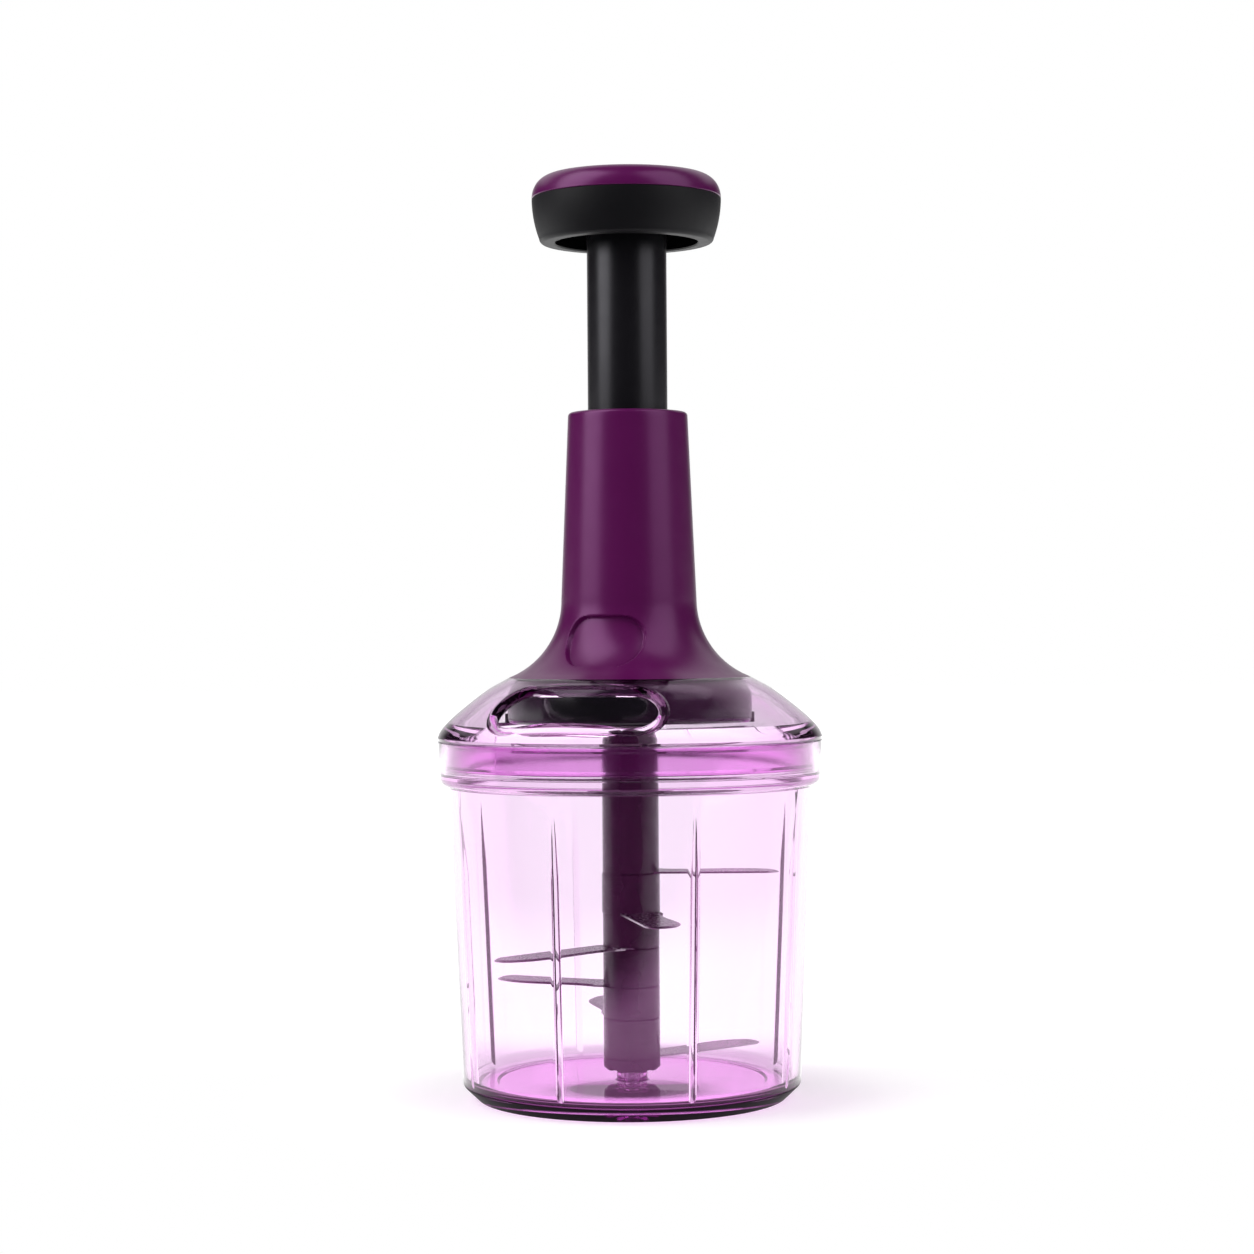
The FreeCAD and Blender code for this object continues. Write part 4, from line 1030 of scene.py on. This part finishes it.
class ModelSpring(Operator):
    """Models the return spring at full length; in the chopper its coils close up as the plunger goes down
    """
    bl_idname = "chopper.model_spring"
    bl_label = "Return spring"

    def execute(self, context):
        sizes = context.scene.chopper_drive
        wire_r = sizes.wire / 2
        wire_sides, coil_steps = 12, 36
        low = SPRING_BOX[0][2]
        height = SPRING_BOX[1][2] - low
        put_down()
        bpy.ops.mesh.primitive_circle_add(vertices=wire_sides, radius=wire_r,
                                          location=(SPRING_BOX[1][0] - wire_r, 0, low + wire_r),
                                          rotation=(QUARTER_TURN, 0, 0))
        spring = begin("coil_spring")
        leave_edit()
        modify("SCREW", steps=coil_steps, render_steps=coil_steps, iterations=sizes.coils,
               screw_offset=(height - sizes.wire) / sizes.coils)
        edit()
        bpy.ops.mesh.fill_holes(sides=wire_sides)
        spring = close_up(spring, ROUND_ANGLE)
        hand_over(spring, "lid_unit", "return_spring", "spring_steel")
        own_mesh(spring)
        return {"FINISHED"}


# ---- stage ---------------------------------------------------------------------------------------

# Zones of the floor, each a start and a stop in metres over which one thing gives way to another.
FOOT_ZONE = (0.0465, 0.0495)       # from the axis: the painted magenta light on the floor under the bowl ends
NEAR_ZONE = (0.056, 0.110)         # from the axis: the floor's glow rises; lower close to the bowl, it is a painted shade there
GLOSS_ZONE = (0.057, 0.075)        # from the axis: the painted shade that gloss sees round the bowl gives way to the white sweep
AWAY_ZONE = (0.062, 0.130)         # from the axis: the object's shadow gives way to plain white
CLOSE_ZONE = (0.05, 0.10)          # behind the axis: the floor reaches its back glow
FAR_ZONE = (0.25, 0.60)            # behind the axis: the back glow falls to the far glow
FRONT_ZONE = (-0.10, -0.02)        # behind the axis: the sweep is white over its whole width
SWEEP_BLUR = 0.02                  # half of the width over which the sweep's front edge fades
FLOOR_GAP = 0.0002                 # the floor lies this far under the object, so no two faces coincide
SWEEP_FADE = 0.6                   # the sweep fades from this share of its reach outwards
FLOOR_SHADE = (0.7, 0.7, 0.7)
# Glows of the floor as the camera and clear plastic see it: near beside the bowl, open past it, under the
# bowl, and far behind. The lower near glow is a painted shade round the bowl over its real shadow; the
# under glow is painted magenta light.
NEAR_GLOW, OPEN_GLOW, UNDER_GLOW, FAR_GLOW = 0.42, 0.60, 0.64, 1.27
UNDER_GLOSS = 0.4                  # the painted magenta light under the bowl as gloss shows it, as a share of its tint
CLOSE_GLOSS = 0.1                  # the white sweep as gloss shows it close to the bowl, dimmed there as a painted shade

# Zones of the sky, each a start and a stop along one axis of a ray's direction.
LEVEL_SKY = (0.35, 0.60)           # Z: rays near the level, fading upwards
RAISED_SKY = (0.30, 0.45)          # Z: rays that rise
STRAIGHT_SKY = (0.8, 1.0)          # Y: rays straight to the back
BACK_SKY = (0.38, 0.56)            # Y: rays up and to the back
WIDE_SKY = (0.2, 0.6)              # Y: rays to the back that come from inside clear plastic
BACK_WALL = (0.8, 0.8, 0.8)        # the lit wall behind the object, for gloss
WHITE = (1, 1, 1)


def worked_out(tree, operation, one, two):
    """What one Math node makes of two numbers."""
    return add(tree, "ShaderNodeMath", "Value", {0: one, 1: two}, operation=operation)


def product(tree, one, two):
    return worked_out(tree, "MULTIPLY", one, two)


def greater(tree, one, two):
    return worked_out(tree, "MAXIMUM", one, two)


def rising(tree, source, zone):
    return graded(tree, source, zone, 0.0, 1.0)


def falling(tree, source, zone):
    return graded(tree, source, zone, 1.0, 0.0)


def axis_of(tree, vector, axis):
    """The X, Y or Z part of a vector."""
    return add(tree, "ShaderNodeSeparateXYZ", axis, {0: vector})


def mirrored(tree):
    """1 for rays that some gloss has thrown back, 0 for all others."""
    return worked_out(tree, "MINIMUM", ray(tree, "Glossy Depth"), 1.0)


def seen(tree):
    """1 for rays from the camera or through clear plastic, 0 for all others."""
    return greater(tree, ray(tree, "Is Camera Ray"), ray(tree, "Is Transmission Ray"))


def inside_clear(tree):
    """1 for a ray that has passed through clear plastic."""
    return worked_out(tree, "MINIMUM", ray(tree, "Transmission Depth"), 1.0)


def floor_finish(settings):
    """Matt white floor that keeps the object's real shadow near it and fades into plain white. Painted
    light
    lies on it: a magenta glow under the bowl, and a dimmer glow close round it as painted shade, which
    gloss also shows. Its white sweep ends at a slanting front edge, which only gloss shows."""
    finish, tree, shader, output = new_finish("studio_floor")
    place = add(tree, "ShaderNodeTexCoord", "Object", {})
    distance = add(tree, "ShaderNodeVectorMath", "Value", {0: place}, operation="LENGTH")
    depth = axis_of(tree, place, "Y")

    # Painted light in the glow: under the bowl a magenta glow stands in for light through the tinted base,
    # and close beside the bowl a lower glow is a painted shade over the real shadow.
    under = falling(tree, distance, FOOT_ZONE)
    glow = worked_out(tree, "ADD", graded(tree, distance, NEAR_ZONE, NEAR_GLOW, OPEN_GLOW),
                      graded(tree, distance, FOOT_ZONE, UNDER_GLOW, 0.0))
    feed(tree, shader, {
        "Base Color": FLOOR_SHADE,
        "Roughness": 0.9,
        "Specular IOR Level": 0.0,
        "Emission Color": between(tree, under, WHITE, settings.under),
        "Emission Strength": product(tree, glow, seen(tree)),
    })
    close = graded(tree, depth, CLOSE_ZONE, 1.0, settings.back_glow)
    far = graded(tree, depth, FAR_ZONE, 1.0, FAR_GLOW / settings.back_glow)
    white = add(tree, "ShaderNodeEmission", "Emission", {"Strength": product(tree, close, far)})
    away = product(tree, rising(tree, distance, AWAY_ZONE), seen(tree))
    plain = mixed(tree, away, shader.outputs["BSDF"], white)

    slant = (math.sin(settings.sweep_turn), math.cos(settings.sweep_turn), 0)
    ahead = add(tree, "ShaderNodeVectorMath", "Value", {0: place, 1: slant}, operation="DOT_PRODUCT")
    edge = (-settings.sweep_edge - SWEEP_BLUR, -settings.sweep_edge + SWEEP_BLUR)
    sweep = greater(tree, rising(tree, ahead, edge), rising(tree, depth, FRONT_ZONE))
    reach = rising(tree, depth, (-settings.sweep_reach, -settings.sweep_reach * SWEEP_FADE))
    # Close to the bowl, gloss sees the sweep dimmed: a painted shade in the floor's reflection.
    painted_gloss_shade = graded(tree, distance, GLOSS_ZONE, CLOSE_GLOSS, 1.0)
    share = product(tree, product(tree, sweep, reach), painted_gloss_shade)
    # Gloss from inside clear plastic sees the room purple: a painted reflection.
    room = between(tree, inside_clear(tree), settings.room, settings.painted_inner_reflection)
    beside = between(tree, share, room, (settings.sweep_glow,) * 3)
    # Under the bowl, gloss sees the painted magenta light too, at a share of its tint.
    below = [UNDER_GLOSS * part for part in settings.under]
    gloss = add(tree, "ShaderNodeEmission", "Emission", {"Color": between(tree, under, beside, below)})
    feed(tree, output, {"Surface": mixed(tree, mirrored(tree), plain, gloss)})
    return finish


def studio_world(world, settings):
    """Soft grey light all round, white behind what the camera sees, a dim room in front for gloss,
    and a painted purple reflection for gloss from inside clear plastic.
    """
    world.use_nodes = True
    tree = world.node_tree
    way = add(tree, "ShaderNodeTexCoord", "Generated", {})
    back = axis_of(tree, way, "Y")
    up = axis_of(tree, way, "Z")
    inside = inside_clear(tree)
    level = falling(tree, up, LEVEL_SKY)
    straight = product(tree, rising(tree, back, STRAIGHT_SKY), level)
    wide = product(tree, rising(tree, back, WIDE_SKY), level)
    high = product(tree, rising(tree, back, BACK_SKY), rising(tree, up, RAISED_SKY))
    behind = between(tree, inside, greater(tree, straight, high), wide)
    # Gloss from inside clear plastic sees the room purple: a painted reflection.
    room = between(tree, inside, settings.room, settings.painted_inner_reflection)
    gloss = between(tree, behind, room, BACK_WALL)
    plain = between(tree, seen(tree), (settings.world_light,) * 3, WHITE)
    feed(tree, tree.nodes["Background"], {
        "Color": between(tree, mirrored(tree), plain, gloss),
        "Strength": 1.0,
    })


def softbox(name, azimuth, distance, height, size, power):
    """Rectangular lamp that faces the object's middle from an azimuth in degrees, 0 being in front."""
    middle = Vector((0, 0, 0.16))
    turn = math.radians(azimuth)
    place = Vector((math.sin(turn) * distance, -math.cos(turn) * distance, height))
    bpy.ops.object.light_add(type="AREA", location=place)
    lamp = bpy.context.object
    lamp.name = name
    lamp.rotation_euler = (middle - place).to_track_quat("-Z", "Y").to_euler()
    lamp.data.shape = "RECTANGLE"
    lamp.data.size = size[0]
    lamp.data.size_y = size[1]
    lamp.data.energy = power


class SetStage(Operator):
    """Sets up the white floor, the soft lamps and the camera"""
    bl_idname = "chopper.set_stage"
    bl_label = "Stage"

    def execute(self, context):
        settings = context.scene.chopper_stage
        put_down()
        bpy.ops.mesh.primitive_plane_add(size=settings.floor_size, location=(0, 0, -FLOOR_GAP))
        studio_floor = bpy.context.object
        studio_floor.name = "studio_floor"
        studio_floor.data.materials.append(floor_finish(settings))
        world = context.scene.world or bpy.data.worlds.new("studio")
        context.scene.world = world
        studio_world(world, settings)
        softbox("left_softbox", azimuth=-71, distance=1.1, height=1.0, size=(1.05, 1.8), power=18.0)
        softbox("right_softbox", azimuth=60, distance=1.1, height=1.0, size=(1.10, 1.8), power=10.0)
        eye = (settings.eye_side, -settings.eye_distance, settings.eye_height)
        bpy.ops.object.camera_add(location=eye)
        camera = bpy.context.object
        camera.name = "studio_camera"
        camera.rotation_euler = (Matrix.Rotation(QUARTER_TURN, 4, "X")
                                 @ Matrix.Rotation(settings.lean, 4, "Z")).to_euler()
        camera.data.lens = settings.lens
        camera.data.clip_start = 0.01
        context.scene.camera = camera
        context.scene.view_settings.view_transform = "Standard"
        return {"FINISHED"}


# ---- panel and registration ----------------------------------------------------------------------

OPERATORS = (MakeFinishes, ModelBowl, ModelLid, ModelNeck, ModelTube, ModelKnob, ModelCap, ModelDrum,
             ModelSpring, SetStage)


class ChopperPanel(Panel):
    """Lists the pieces and the settings of the chopper"""
    bl_idname = "VIEW3D_PT_chopper"
    bl_label = "Chopper"
    bl_space_type = "VIEW_3D"
    bl_region_type = "UI"
    bl_category = "Chopper"

    def draw(self, context):
        for operator in OPERATORS:
            self.layout.operator(operator.bl_idname)
        for name, settings in SETTINGS.items():
            box = self.layout.box()
            box.label(text=settings.__name__)
            for prop in settings.__annotations__:
                box.prop(getattr(context.scene, name), prop)


CLASSES = (*SETTINGS.values(), *OPERATORS, ChopperPanel)


def register():
    for cls in CLASSES:
        bpy.utils.register_class(cls)
    for name, settings in SETTINGS.items():
        setattr(bpy.types.Scene, name, PointerProperty(type=settings))


def unregister():
    for name in SETTINGS:
        delattr(bpy.types.Scene, name)
    for cls in reversed(CLASSES):
        bpy.utils.unregister_class(cls)


def main():
    register()
    bpy.ops.chopper.make_finishes()
    bpy.ops.chopper.model_bowl()
    bpy.ops.chopper.model_lid()
    bpy.ops.chopper.model_neck()
    bpy.ops.chopper.model_tube()
    bpy.ops.chopper.model_knob()
    bpy.ops.chopper.model_cap()
    bpy.ops.chopper.model_drum()
    bpy.ops.chopper.model_spring()
    bpy.ops.chopper.set_stage()


if __name__ == "__main__":
    main()
